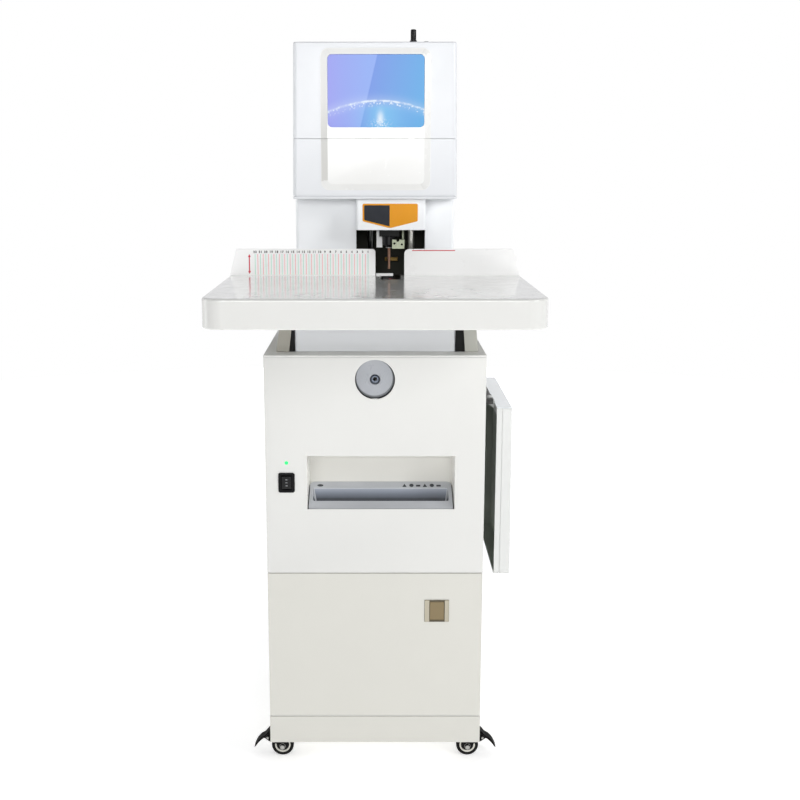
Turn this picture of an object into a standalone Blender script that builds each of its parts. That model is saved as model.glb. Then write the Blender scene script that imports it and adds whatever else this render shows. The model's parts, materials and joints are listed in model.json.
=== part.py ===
"""Floor-standing document riveting machine on a wheeled cabinet.

Frame: X to the right, Y to the back, Z up, origin on the floor under the middle
of the outer box. The dimensions below are millimetres, and the meshes are metres.
"""

import math

import bmesh
import bpy
from mathutils import Matrix, Vector

MM = 0.001

# ---------------------------------------------------------------- dimensions
FRONT = -146.5          # front plane of the cabinet
BACK = 313.5            # rear plane of the cabinet
HALF = 190.0            # half the cabinet's width
SHEET = 1.5             # folded steel sheet
GAP = 0.3               # gap between pieces that touch

SKIRT_LOW = 52.0        # lower edge of the plinth
FLOOR_LOW = 58.0        # underside of the cabinet floor
PLINTH_TOP = 102.7
DOOR_LOW, DOOR_TOP = 104.7, 374.6
PANEL_LOW, PANEL_TOP = 376.6, 760.6
TOP_LOW, TOP_HIGH = 760.9, 763.9
DOOR_DEEP, PANEL_DEEP = 18.0, 21.7
SIDE_FRONT = FRONT + 22.0
HINGE_X, HINGE_Y, HINGE_R = -181.0, FRONT + 9.0, 2.5

LATCH_X0, LATCH_X1, LATCH_Z0, LATCH_Z1 = 87.7, 131.1, 284.6, 325.7
FLAP_X0, FLAP_X1 = 97.3, 122.7

DISH_Z, DISH_R = 722.1, 34.5
SWITCH_X, SWITCH_Z = -153.45, 540.6
LED_X, LED_Z = -153.2, 575.7

RECESS_X0, RECESS_X1, RECESS_Z0, RECESS_Z1 = -118.0, 138.5, 492.6, 587.8
SLOPE = 0.4232          # rise per millimetre of the shredder's face

TABLE_HALF, TABLE_FRONT, TABLE_REAR = 271.5, -313.5, 91.7
TABLE_LOW, TABLE_TOP = 830.4, 879.0
SLOT_X0, SLOT_X1, SLOT_Y0 = 8.5, 47.0, -3.5
FENCE_Y, FENCE_T, FENCE_TOP = 77.0, 3.0, 928.0

BODY_HALF = 147.5       # column and head
COLUMN_FRONT, COLUMN_SPLIT, BODY_REAR = 92.5, 196.2, 300.0
HEAD_FRONT, HEAD_LOW, HEAD_SEAM, HEAD_TOP = 22.5, 1020.8, 1126.7, 1292.6
THROAT_X0, THROAT_X1 = -34.7, 92.9
WALL = 2.5

BIT_X, BIT_Y = 26.0, 62.5
COLUMN_XS, COLUMN_Y, COLUMN_R = (-8.0, 67.5), 112.0, 6.0

SHELF_AXIS_X, SHELF_AXIS_Z = 204.0, 672.0
SHELF_X0, SHELF_X1 = 211.7, 238.0
SHELF_Y0, SHELF_Y1, SHELF_Z0, SHELF_Z1 = -122.5, 177.5, 363.0, 668.4

SWIVEL_X, SWIVEL_FRONT_Y, SWIVEL_REAR_Y = 150.0, FRONT + 60.0, 253.5
TRAIL, WHEEL_R, WHEEL_W = 22.0, 20.5, 20.0
PEDAL_U, PEDAL_Z = 49.4, 38.0   # brake pedal's pin, from the swivel axis

# ---------------------------------------------------------------- the scene
for old in list(bpy.data.objects):
    bpy.data.objects.remove(old, do_unlink=True)


def finish(name, rgb, roughness, metallic=0.0):
    """A Principled BSDF material."""
    made = bpy.data.materials.get(name)
    if made:
        return made
    made = bpy.data.materials.new(name)
    made.use_nodes = True
    shader = made.node_tree.nodes["Principled BSDF"]
    shader.inputs["Base Color"].default_value = (*rgb, 1.0)
    shader.inputs["Roughness"].default_value = roughness
    shader.inputs["Metallic"].default_value = metallic
    return made


WHITE = finish("powder_white", (0.80, 0.80, 0.77), 0.45)
HEADWHITE = finish("cover_white", (0.86, 0.87, 0.89), 0.35)
GLOSSWHITE = finish("table_white", (0.84, 0.84, 0.82), 0.18)
SILVER = finish("satin_silver", (0.56, 0.58, 0.61), 0.35, 0.6)
STEEL = finish("machined_steel", (0.62, 0.62, 0.60), 0.30, 1.0)
CHROME = finish("chrome", (0.80, 0.80, 0.81), 0.08, 1.0)
BLACK = finish("black_plastic", (0.02, 0.02, 0.022), 0.45)
CAST = finish("black_cast_iron", (0.03, 0.03, 0.032), 0.55, 0.3)
BRONZE = finish("bronze_paint", (0.29, 0.24, 0.15), 0.40, 0.5)
GREYMETAL = finish("grey_painted_steel", (0.36, 0.35, 0.31), 0.50)
NYLON = finish("white_nylon", (0.86, 0.87, 0.86), 0.40)
COPPER = finish("coated_drill", (0.50, 0.27, 0.19), 0.35, 0.9)
LENS = finish("green_lens", (0.02, 0.85, 0.25), 0.20)
GLASS = finish("display", (0.22, 0.35, 0.80), 0.10)
RUBBER = finish("wheel_rubber", (0.025, 0.025, 0.025), 0.60)
BINGREY = finish("bin_grey", (0.25, 0.26, 0.28), 0.50)


# ---------------------------------------------------------------- helpers
def make(name, bm, material, pivot=(0, 0, 0), smooth=False, hidden=False):
    """Turn a bmesh in millimetres into an object with its origin at pivot."""
    bmesh.ops.remove_doubles(bm, verts=bm.verts, dist=1e-4)
    bmesh.ops.recalc_face_normals(bm, faces=bm.faces)
    bmesh.ops.translate(bm, verts=bm.verts, vec=-Vector(pivot))
    bmesh.ops.scale(bm, verts=bm.verts, vec=(MM, MM, MM))
    mesh = bpy.data.meshes.new(name)
    bm.to_mesh(mesh)
    bm.free()
    if smooth:
        mesh.shade_smooth()
        mesh.set_sharp_from_angle(angle=math.radians(35))
    ob = bpy.data.objects.new(name, mesh)
    ob.location = Vector(pivot) * MM
    if material:
        mesh.materials.append(material)
    bpy.context.scene.collection.objects.link(ob)
    if hidden:
        ob.hide_render = True
        ob.display_type = "WIRE"
    return ob


def place(axis, a, b, c):
    """A point from its two profile coordinates and its place along axis."""
    return {"X": (c, a, b), "Y": (a, c, b), "Z": (a, b, c)}[axis]


def prism_mesh(outline, axis, lo, hi):
    bm = bmesh.new()
    low = [bm.verts.new(place(axis, a, b, lo)) for a, b in outline]
    high = [bm.verts.new(place(axis, a, b, hi)) for a, b in outline]
    bm.faces.new(low)
    bm.faces.new(list(reversed(high)))
    for i in range(len(low)):
        j = (i + 1) % len(low)
        bm.faces.new((low[j], low[i], high[i], high[j]))
    return bm


def prism(name, outline, axis, lo, hi, material=None, **kw):
    return make(name, prism_mesh(outline, axis, lo, hi), material, **kw)


def box(name, x, y, z, material=None, **kw):
    """A block between pairs of bounds."""
    outline = [(x[0], y[0]), (x[1], y[0]), (x[1], y[1]), (x[0], y[1])]
    return prism(name, outline, "Z", z[0], z[1], material, **kw)


def rounded(a0, a1, b0, b1, radii, steps=4):
    """A rectangle with one radius for each corner, from (a0, b0) round to (a0, b1)."""
    if not isinstance(radii, (tuple, list)):
        radii = (radii,) * 4
    corners = ((a0, b0, 180), (a1, b0, 270), (a1, b1, 0), (a0, b1, 90))
    inward = ((1, 1), (-1, 1), (-1, -1), (1, -1))
    points = []
    for (a, b, start), (sa, sb), r in zip(corners, inward, radii):
        if r <= 0:
            points.append((a, b))
            continue
        for i in range(steps + 1):
            t = math.radians(start + 90 * i / steps)
            points.append((a + sa * r + r * math.cos(t), b + sb * r + r * math.sin(t)))
    return points


def circle(a, b, r, n=24, turn=0.0):
    return [
        (a + r * math.cos(turn + math.tau * i / n), b + r * math.sin(turn + math.tau * i / n))
        for i in range(n)
    ]


def lathe_mesh(profile, centre, axis, n, closed=False, turn=0.0):
    """Turn (radius, height) points about an axis through centre's two coordinates.
    A closed profile makes a ring with a bore."""
    bm = bmesh.new()
    loops = []
    for r, h in profile:
        if r <= 0:
            loops.append([bm.verts.new(place(axis, centre[0], centre[1], h))])
        else:
            loops.append([bm.verts.new(place(axis, a, b, h)) for a, b in circle(centre[0], centre[1], r, n, turn)])
    pairs = list(zip(loops, loops[1:]))
    if closed:
        pairs.append((loops[-1], loops[0]))
    for one, two in pairs:
        for i in range(n):
            j = (i + 1) % n
            quad = [one[i % len(one)], one[j % len(one)], two[j % len(two)], two[i % len(two)]]
            face = []
            for v in quad:
                if v not in face:
                    face.append(v)
            if len(face) > 2:
                bm.faces.new(face)
    return bm


def lathe(name, profile, centre, axis, n, material=None, closed=False, turn=0.0, **kw):
    kw.setdefault("smooth", True)
    return make(name, lathe_mesh(profile, centre, axis, n, closed, turn), material, **kw)


def rod(name, centre, axis, r, lo, hi, n=20, material=None, **kw):
    kw.setdefault("smooth", True)
    return prism(name, circle(centre[0], centre[1], r, n), axis, lo, hi, material, **kw)


def boolean(ob, other, how):
    mod = ob.modifiers.new(how.title(), "BOOLEAN")
    mod.operation = how
    mod.solver = "EXACT"
    mod.object = other
    other.hide_render = True
    other.display_type = "WIRE"


def cut(ob, *others):
    for other in others:
        boolean(ob, other, "DIFFERENCE")


def join(ob, *others):
    for other in others:
        boolean(ob, other, "UNION")


def loft(name, layers, material=None, **kw):
    """A closed solid through outlines of equal point count at rising heights."""
    bm = bmesh.new()
    loops = [[bm.verts.new((x, y, z)) for x, y in outline] for outline, z in layers]
    bm.faces.new(list(reversed(loops[0])))
    bm.faces.new(loops[-1])
    for low, high in zip(loops, loops[1:]):
        for i in range(len(low)):
            j = (i + 1) % len(low)
            bm.faces.new((low[i], low[j], high[j], high[i]))
    return make(name, bm, material, **kw)


# ---------------------------------------------------------------- cabinet
base = prism(
    "cabinet_base",
    [(FRONT, SKIRT_LOW), (FRONT + SHEET, SKIRT_LOW), (FRONT + SHEET, FLOOR_LOW), (BACK, FLOOR_LOW), (BACK, PLINTH_TOP), (FRONT, PLINTH_TOP)],
    "X", -HALF, HALF, WHITE,
)
cut(base, box("base_inside", (-HALF + SHEET, HALF - SHEET), (FRONT + SHEET, BACK - SHEET), (FLOOR_LOW + 2, PLINTH_TOP + 4)))

for side, sign in (("left", -1), ("right", 1)):
    xs = sorted((sign * HALF, sign * (HALF - 18)))
    panel = box(f"cabinet_side_{side}", xs, (SIDE_FRONT, BACK - 1.8), (PLINTH_TOP + GAP, PANEL_TOP), WHITE)
    inner = sorted((sign * (HALF - SHEET), sign * (HALF - 22)))
    cut(panel, box(f"side_inside_{side}", inner, (SIDE_FRONT + SHEET, BACK - 3.3), (PLINTH_TOP + GAP + SHEET, PANEL_TOP - SHEET)))

back = box("cabinet_back", (-HALF, HALF), (BACK - SHEET, BACK), (PLINTH_TOP + GAP, PANEL_TOP), WHITE)
cut(back, box("inlet_window", (-150.0, -98.0), (BACK - 5, BACK + 5), (190.0, 220.0)))

top = box("cabinet_top", (-HALF, HALF), (FRONT, BACK), (TOP_LOW, TOP_HIGH), WHITE)
for i, y in enumerate((FRONT + 142, FRONT + 300)):
    join(top, box(f"top_stiffener_{i}", (-168, 168), (y, y + 24), (742, TOP_LOW + 1.5)))

panel = box("upper_front_panel", (-HALF, HALF), (FRONT, FRONT + PANEL_DEEP), (PANEL_LOW, PANEL_TOP), WHITE)
cut(
    panel,
    box("panel_inside", (-HALF + SHEET, HALF - SHEET), (FRONT + SHEET, FRONT + 30), (PANEL_LOW + SHEET, PANEL_TOP - SHEET)),
    rod("dish_hole", (0, DISH_Z), "Y", DISH_R, FRONT - 5, FRONT + 5, 40),
    box("recess_hole", (RECESS_X0, RECESS_X1), (FRONT - 5, FRONT + 5), (RECESS_Z0, RECESS_Z1)),
    box("switch_hole", (SWITCH_X - 12.9, SWITCH_X + 12.9), (FRONT - 5, FRONT + 5), (SWITCH_Z - 16, SWITCH_Z + 16)),
    rod("led_hole", (LED_X, LED_Z), "Y", 3.2, FRONT - 5, FRONT + 5, 16),
    rod("pivot_hole_top", (HINGE_X, HINGE_Y), "Z", HINGE_R + GAP, PANEL_LOW - 5, PANEL_LOW + 5, 16),
)

# Door: a folded pan that turns on the hinge rod through its two end flanges.
door = box(
    "door_panel", (-HALF + GAP, HALF - GAP), (FRONT, FRONT + DOOR_DEEP), (DOOR_LOW, DOOR_TOP), WHITE,
    pivot=(HINGE_X, HINGE_Y, DOOR_LOW),
)
cut(
    door,
    box("door_inside", (-HALF + GAP + SHEET, HALF - GAP - SHEET), (FRONT + SHEET, FRONT + 30), (DOOR_LOW + SHEET, DOOR_TOP - SHEET)),
    box("latch_hole", (LATCH_X0 + 1.5, LATCH_X1 - 1.5), (FRONT - 5, FRONT + 5), (LATCH_Z0 + 1.5, LATCH_Z1 - 1.5)),
    rod("pivot_hole_door", (HINGE_X, HINGE_Y), "Z", HINGE_R + GAP, DOOR_LOW - 5, DOOR_TOP + 5, 16),
)
rod("door_hinge_rod", (HINGE_X, HINGE_Y), "Z", HINGE_R, FLOOR_LOW + 2 + GAP, PANEL_LOW + 8, 16, STEEL)

# Flush pull: a bronze cup in the door with a sprung flap hung from its top edge.
latch = box("latch_housing", (LATCH_X0, LATCH_X1), (FRONT - 1.2, FRONT - GAP), (LATCH_Z0, LATCH_Z1), BRONZE)
join(latch, box("latch_cup", (LATCH_X0 + 2, LATCH_X1 - 2), (FRONT - 0.8, FRONT + 22), (LATCH_Z0 + 2, LATCH_Z1 - 2)))
cut(latch, box("latch_pocket", (FLAP_X0 - 0.5, FLAP_X1 + 0.5), (FRONT - 5, FRONT + 20.5), (LATCH_Z0 + 3, LATCH_Z1 - 3)))
FLAP_TOP = LATCH_Z1 - 3.5
flap = prism(
    "latch_paddle",
    [(FRONT - 0.6, LATCH_Z0 + 3.6), (FRONT + 1.4, LATCH_Z0 + 3.6), (FRONT + 1.4, FLAP_TOP - 4), (FRONT + 3.2, FLAP_TOP - 2), (FRONT + 1.6, FLAP_TOP), (FRONT - 0.6, FLAP_TOP - 0.8)],
    "X", FLAP_X0, FLAP_X1, BRONZE, pivot=(0.5 * (FLAP_X0 + FLAP_X1), FRONT + 1.0, FLAP_TOP - 2.0),
)

# ---------------------------------------------------------------- shredder
def slope_z(y):
    """Height of the shredder's sloping face at depth y."""
    return 493.9 + (y - (FRONT + 3)) * SLOPE


liner = prism(
    "shredder_recess_liner",
    [(FRONT + 1.8, 589.8), (FRONT + 1.8, slope_z(FRONT + 1.8) - 6.3), (FRONT + 74, slope_z(FRONT + 74) - 6.3), (FRONT + 74, 586.0)],
    "X", RECESS_X0 - 1.8, RECESS_X1 + 1.8, WHITE,
)
cut(
    liner,
    prism("recess_space", [(FRONT - 2, 587.8), (FRONT - 2, slope_z(FRONT - 2) - 4.3), (FRONT + 72, slope_z(FRONT + 72) - 4.3), (FRONT + 72, 584.0)], "X", RECESS_X0, RECESS_X1),
    box("liner_mouth", (-113.5, 133.5), (FRONT + 11, FRONT + 58), (470, 530)),
)

face = prism(
    "shredder_faceplate",
    [(FRONT + 2, slope_z(FRONT + 2) - 4), (FRONT + 71.5, slope_z(FRONT + 71.5) - 4), (FRONT + 71.5, slope_z(FRONT + 71.5)), (FRONT + 2, slope_z(FRONT + 2))],
    "X", -117.3, 137.8, SILVER,
)
join(
    face,
    prism("throat_block", [(FRONT + 26, 476), (FRONT + 43, 476), (FRONT + 56, slope_z(FRONT + 56) - 2), (FRONT + 13, slope_z(FRONT + 13) - 2)], "X", -112.5, 132.5),
)
cut(
    face,
    prism(
        "paper_trough",
        [(FRONT + 30.5, 470), (FRONT + 38.5, 470), (FRONT + 38.5, 480), (FRONT + 52, slope_z(FRONT + 52) + 0.01), (FRONT + 52, slope_z(FRONT + 52) + 9), (FRONT + 24, slope_z(FRONT + 24) + 9), (FRONT + 24, slope_z(FRONT + 24) + 0.01), (FRONT + 30.5, 480)],
        "X", -109.5, 129.5,
    ),
)

CUT_Z, CUT_Y, CUT_GAP = 445.0, (FRONT + 45.0, FRONT + 75.0), 30.0
TRAY_Z = 379.0
tray = box("shredder_frame", (-187, 187), (FRONT + 25, 307), (TRAY_Z, TRAY_Z + 2), GREYMETAL)
join(
    tray,
    box("bearing_plate_left", (-124, -121), (FRONT + 27, FRONT + 112), (TRAY_Z + 1, 472)),
    box("bearing_plate_right", (143, 146), (FRONT + 27, FRONT + 112), (TRAY_Z + 1, 472)),
)
cut(
    tray,
    box("shred_chute", (-108, 128), (FRONT + 31, FRONT + 98), (TRAY_Z - 5, TRAY_Z + 7)),
    rod("bore_front", (CUT_Y[0], CUT_Z), "X", 8.3, -140, 160, 20),
    rod("bore_rear", (CUT_Y[1], CUT_Z), "X", 8.3, -140, 160, 20),
)


def gear_outline(cy, cz, teeth, pitch_r, turn):
    """Straight-sided teeth, narrower than the gaps so that a pair turns freely."""
    points = []
    step = math.tau / teeth
    for i in range(teeth):
        mid = turn + i * step
        for offset, r in ((-0.26, pitch_r - 2.1), (-0.12, pitch_r + 1.3), (0.12, pitch_r + 1.3), (0.26, pitch_r - 2.1)):
            points.append((cy + r * math.cos(mid + offset * step), cz + r * math.sin(mid + offset * step)))
    return points


TEETH = 16
for which, y in (("front", CUT_Y[0]), ("rear", CUT_Y[1])):
    shaft = rod(f"cutter_shaft_{which}", (y, CUT_Z), "X", 8.0, -128, 160, 14, STEEL, pivot=(10, y, CUT_Z))
    offset = 0.0 if which == "front" else 12.5
    profile = []
    for i in range(10):
        lo = -112 + offset + i * 25.0
        if lo + 10.5 > 137:
            break
        profile += [(9.0, lo), (18.0, lo), (18.0, lo + 10.5), (9.0, lo + 10.5)]
    profile = [(0.0, profile[0][1])] + profile + [(0.0, profile[-1][1])]
    join(shaft, lathe(f"discs_{which}", profile, (y, CUT_Z), "X", 14))
    turn = 0.0 if which == "front" else math.pi + math.pi / TEETH
    join(shaft, prism(f"gear_{which}", gear_outline(y, CUT_Z, TEETH, CUT_GAP / 2, turn), "X", 148, 158))

motor = rod("shredder_motor", (FRONT + 160, 426), "X", 33, -70, 70, 24, STEEL)
join(
    motor,
    rod("motor_boss", (FRONT + 160, 426), "X", 12, 68, 84, 16),
    box("motor_foot", (-50, 50), (FRONT + 135, FRONT + 185), (TRAY_Z + 2 + GAP, 405)),
)

bin_ = loft(
    "waste_bin",
    [(rounded(-146, 146, FRONT + 30, FRONT + 326, 12, 3), FLOOR_LOW + 2 + GAP), (rounded(-152, 152, FRONT + 27, FRONT + 332, 14, 3), 345.0)],
    BINGREY,
)
cut(
    bin_,
    loft(
        "bin_inside",
        [(rounded(-143.5, 143.5, FRONT + 32.5, FRONT + 323.5, 10, 3), FLOOR_LOW + 5), (rounded(-149.7, 149.7, FRONT + 29.4, FRONT + 329.7, 12, 3), 350.0)],
    ),
)

# ---------------------------------------------------------------- sharpener
housing = box("sharpener_housing", (-37, 37), (FRONT + 22.5, FRONT + 125), (685, 758.5), BLACK)
cut(housing, rod("cutter_bore", (0, DISH_Z), "Y", 27, FRONT + 15, FRONT + 85, 28))
lathe(
    "sharpener_dish",
    [(8.4, FRONT + 3.6), (11.0, FRONT + 2.2), (20.0, FRONT + 1.6), (27.0, FRONT + 1.2), (30.2, FRONT + 1.9), (32.6, FRONT + 3.8), (33.9, FRONT + 6.6), (34.2, FRONT + 9.6), (34.2, FRONT + 22.0), (8.4, FRONT + 22.0)],
    (0, DISH_Z), "Y", 40, SILVER, closed=True,
)
lathe(
    "sharpener_cutter",
    [(0, FRONT + 74), (24, FRONT + 74), (24, FRONT + 27), (7.4, FRONT + 27), (7.4, FRONT + 15), (4.4, FRONT + 15), (4.4, FRONT + 60), (0, FRONT + 60)],
    (0, DISH_Z), "Y", 24, STEEL, pivot=(0, FRONT + 40, DISH_Z),
)

# ---------------------------------------------------------------- switch, lamp, inlet
def chamfered(x0, x1, z0, z1, c):
    return [(x0 + c, z0), (x1 - c, z0), (x1, z0 + c), (x1, z1 - c), (x1 - c, z1), (x0 + c, z1), (x0, z1 - c), (x0, z0 + c)]


switch = prism("switch_housing", chamfered(SWITCH_X - 14.25, SWITCH_X + 14.25, SWITCH_Z - 17.6, SWITCH_Z + 17.6, 2.4), "Y", FRONT - 2.0, FRONT - GAP, BLACK)
join(switch, box("switch_body", (SWITCH_X - 12.4, SWITCH_X + 12.4), (FRONT - 1.0, FRONT + 19), (SWITCH_Z - 15.5, SWITCH_Z + 15.5)))
cut(switch, box("switch_well", (SWITCH_X - 8.7, SWITCH_X + 8.7), (FRONT - 6, FRONT + 14), (SWITCH_Z - 13.2, SWITCH_Z + 13.2)))
prism(
    "switch_rocker",
    [(FRONT - 3.9, SWITCH_Z + 11.6), (FRONT - 1.2, SWITCH_Z), (FRONT - 1.2, SWITCH_Z - 11.6), (FRONT + 2.4, SWITCH_Z - 11.4), (FRONT + 6.0, SWITCH_Z - 6.0), (FRONT + 6.0, SWITCH_Z + 6.0), (FRONT + 2.4, SWITCH_Z + 11.4)],
    "X", SWITCH_X - 8.3, SWITCH_X + 8.3, BLACK, pivot=(SWITCH_X, FRONT + 1.5, SWITCH_Z),
)
lathe("status_led", [(0, FRONT - 1.2), (1.7, FRONT - 0.9), (2.9, FRONT + 0.3), (2.9, FRONT + 8), (0, FRONT + 8)], (LED_X, LED_Z), "Y", 16, LENS)

inlet = box("mains_inlet", (-149.6, -98.4), (BACK - 1.8, BACK - 0.2), (190.4, 219.6), BLACK)
join(inlet, box("inlet_body", (-139, -109), (BACK - 27, BACK - 1), (193, 217)))
cut(inlet, prism("inlet_socket", chamfered(-136, -112, 196.5, 213.5, 3.0), "Y", BACK - 20, BACK + 5))

# ---------------------------------------------------------------- work table
def table_outline(inset):
    front_r = 34.0 - inset
    return rounded(-TABLE_HALF + inset, TABLE_HALF - inset, TABLE_FRONT + inset, TABLE_REAR - min(inset, 3.0), (front_r, front_r, 4.0, 4.0), 6)


layers = []
for i in range(4):
    t = math.radians(30 * i)
    layers.append((table_outline(9.0 * (1 - math.sin(t))), TABLE_LOW + 9.0 * (1 - math.cos(t))))
for i in range(4):
    t = math.radians(30 * i)
    layers.append((table_outline(4.5 * (1 - math.cos(t))), TABLE_TOP - 4.5 + 4.5 * math.sin(t)))
table = loft("table_top", layers, GLOSSWHITE)
cut(
    table,
    prism("table_inside", rounded(-TABLE_HALF + 4, TABLE_HALF - 4, TABLE_FRONT + 4, TABLE_REAR - 4, (30.0, 30.0, 2.0, 2.0), 5), "Z", TABLE_LOW + 6, TABLE_TOP - 4),
    prism("table_underside", rounded(-TABLE_HALF + 14, TABLE_HALF - 14, TABLE_FRONT + 14, TABLE_REAR - 4, (22.0, 22.0, 2.0, 2.0), 5), "Z", TABLE_LOW - 3, TABLE_LOW + 8),
    box("drill_slot", (SLOT_X0, SLOT_X1), (SLOT_Y0, TABLE_REAR + 5), (TABLE_TOP - 12, TABLE_TOP + 5)),
    box("die_notch", (1.5, SLOT_X0 + 0.5), (70, TABLE_REAR + 5), (TABLE_TOP - 12, TABLE_TOP + 5)),
    box("frame_passage", (-40, 98), (TABLE_REAR - 10, TABLE_REAR + 5), (TABLE_LOW - 3, TABLE_TOP - 7.5)),
)


def arc(cx, cz, r, start, end, steps=4):
    return [
        (cx + r * math.cos(math.radians(start + (end - start) * i / steps)), cz + r * math.sin(math.radians(start + (end - start) * i / steps)))
        for i in range(steps + 1)
    ]


FENCE_LOW = TABLE_TOP + GAP
left = prism(
    "fence_left",
    [(-270.8, FENCE_LOW), (0.9, FENCE_LOW)] + arc(-5.1, FENCE_TOP - 6, 6, 0, 90) + [(-257.7, FENCE_TOP)],
    "Y", FENCE_Y, FENCE_Y + FENCE_T, GLOSSWHITE,
)
join(left, box("fence_foot_left", (-262, -2), (FENCE_Y + 1.5, 91.4), (FENCE_LOW, FENCE_LOW + 3)))
right = prism(
    "fence_right",
    [(54.3, FENCE_LOW), (271.3, FENCE_LOW), (257.5, FENCE_TOP)] + arc(63.3, FENCE_TOP - 9, 9, 90, 180),
    "Y", FENCE_Y, FENCE_Y + FENCE_T, GLOSSWHITE,
)
join(right, box("fence_foot_right", (57, 264), (FENCE_Y + 1.5, 91.4), (FENCE_LOW, FENCE_LOW + 3)))

BRACKET_Y = (FRONT + 38, 58.0)
BRACKET_Z = (TOP_HIGH + GAP, TABLE_LOW - GAP)
prism("table_bracket_left", [(-170.5, BRACKET_Z[0]), (-149.8, BRACKET_Z[0]), (-143.4, BRACKET_Z[1]), (-163.3, BRACKET_Z[1])], "Y", *BRACKET_Y, GREYMETAL)
prism("table_bracket_right", [(156.2, BRACKET_Z[0]), (178.5, BRACKET_Z[0]), (173.9, BRACKET_Z[1]), (151.8, BRACKET_Z[1])], "Y", *BRACKET_Y, GREYMETAL)

# ---------------------------------------------------------------- body covers
BASE_FRONT = FRONT + 40
housing2 = prism("base_housing", rounded(-138.5, 138.5, BASE_FRONT, COLUMN_FRONT - 0.6, (4, 4, 0, 0), 3), "Z", TOP_HIGH + GAP, TABLE_LOW - GAP, HEADWHITE)
cut(housing2, prism("base_space", rounded(-136.5, 136.5, BASE_FRONT + 2, COLUMN_FRONT + 20, (2, 2, 0, 0), 3), "Z", TOP_HIGH - 5, TABLE_LOW + 5))

COVER_TOP = HEAD_LOW - 0.4
column = prism("column_cover", rounded(-BODY_HALF, BODY_HALF, COLUMN_FRONT, COLUMN_SPLIT, (7, 7, 0, 0), 4), "Z", TOP_HIGH + GAP, COVER_TOP, HEADWHITE)
cut(
    column,
    prism("column_space", rounded(-BODY_HALF + WALL, BODY_HALF - WALL, COLUMN_FRONT + WALL, COLUMN_SPLIT + 20, (4.5, 4.5, 0, 0), 4), "Z", TOP_HIGH - 5, COVER_TOP + 5),
    box("throat_opening", (THROAT_X0, THROAT_X1), (COLUMN_FRONT - 5, COLUMN_FRONT + 6), (TABLE_TOP - 2, COVER_TOP + 5)),
    box("foot_opening", (-40.5, 98.5), (COLUMN_FRONT - 5, COLUMN_FRONT + 6), (776, TABLE_TOP - 1)),
)
rear = prism("rear_cover", rounded(-BODY_HALF, BODY_HALF, COLUMN_SPLIT + GAP, BODY_REAR, (0, 0, 9, 9), 4), "Z", TOP_HIGH + GAP, COVER_TOP, HEADWHITE)
cut(rear, prism("rear_space", rounded(-BODY_HALF + WALL, BODY_HALF - WALL, COLUMN_SPLIT - 20, BODY_REAR - WALL, (0, 0, 6.5, 6.5), 4), "Z", TOP_HIGH - 5, COVER_TOP + 5))


def head_outline(z, inset=0.0):
    """The head narrows slightly towards its top."""
    half = 147.5 - 3.6 * (z - HEAD_LOW) / (HEAD_TOP - HEAD_LOW) - inset
    r = max(5.0 - inset, 2.0)
    return rounded(-half, half, HEAD_FRONT + inset, BODY_REAR - inset, (r, r, r + 4, r + 4), 4)


SEAM_LOW, SEAM_HIGH = HEAD_SEAM - 0.6, HEAD_SEAM + 0.6
lower = loft("head_lower_cover", [(head_outline(HEAD_LOW), HEAD_LOW), (head_outline(SEAM_LOW), SEAM_LOW)], HEADWHITE)
join(lower, prism("panel_lower", rounded(-95.5, 98.6, 1036.9, SEAM_LOW, (12, 12, 0, 0), 4), "Y", HEAD_FRONT - 3, HEAD_FRONT + 1.5))
cut(
    lower,
    loft("lower_space", [(head_outline(HEAD_LOW + 3, WALL), HEAD_LOW + 3), (head_outline(SEAM_LOW, WALL), SEAM_LOW + 5)]),
    box("mechanism_opening", (-42, 100), (44, 289), (HEAD_LOW - 5, HEAD_LOW + 8)),
)
upper = loft("head_upper_cover", [(head_outline(SEAM_HIGH), SEAM_HIGH), (head_outline(HEAD_TOP - 1.5), HEAD_TOP - 1.5), (head_outline(HEAD_TOP, 1.5), HEAD_TOP)], HEADWHITE)
join(upper, box("sensor_cap", (86.8, 95.3), (49.5, 58), (HEAD_TOP - 1, HEAD_TOP + 3.4)))
cut(
    upper,
    loft("upper_space", [(head_outline(SEAM_HIGH, WALL), SEAM_HIGH - 5), (head_outline(HEAD_TOP, WALL), HEAD_TOP - WALL)]),
    box("display_hole", (-80, 83.5), (HEAD_FRONT - 5, HEAD_FRONT + 8), (1150, 1267)),
)
bezel = prism("screen_bezel", rounded(-95.5, 98.6, SEAM_HIGH, 1281.7, (0, 0, 12, 12), 4), "Y", HEAD_FRONT - 3, HEAD_FRONT - GAP, GLOSSWHITE)
cut(bezel, prism("display_window", rounded(-84.0, 87.5, 1145.9, 1271.2, 8, 4), "Y", HEAD_FRONT - 8, HEAD_FRONT + 3))
screen = prism("touchscreen", rounded(-83.6, 87.1, 1146.3, 1270.8, 7.7, 4), "Y", HEAD_FRONT - 2.4, HEAD_FRONT - 0.4, GLASS)
join(screen, box("display_module", (-78.5, 82), (HEAD_FRONT - 1.4, HEAD_FRONT + 18), (1151.5, 1265.5)))

guard = prism("throat_guard", rounded(THROAT_X0 + 0.5, THROAT_X1 - 0.7, 38.5, COLUMN_FRONT - GAP, (5, 5, 0, 0), 4), "Z", 964.6, COVER_TOP, HEADWHITE)
cut(guard, prism("guard_space", rounded(THROAT_X0 + 3, THROAT_X1 - 3.2, 41.0, COLUMN_FRONT + 20, (3, 3, 0, 0), 4), "Z", 960, COVER_TOP + 5))

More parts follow.
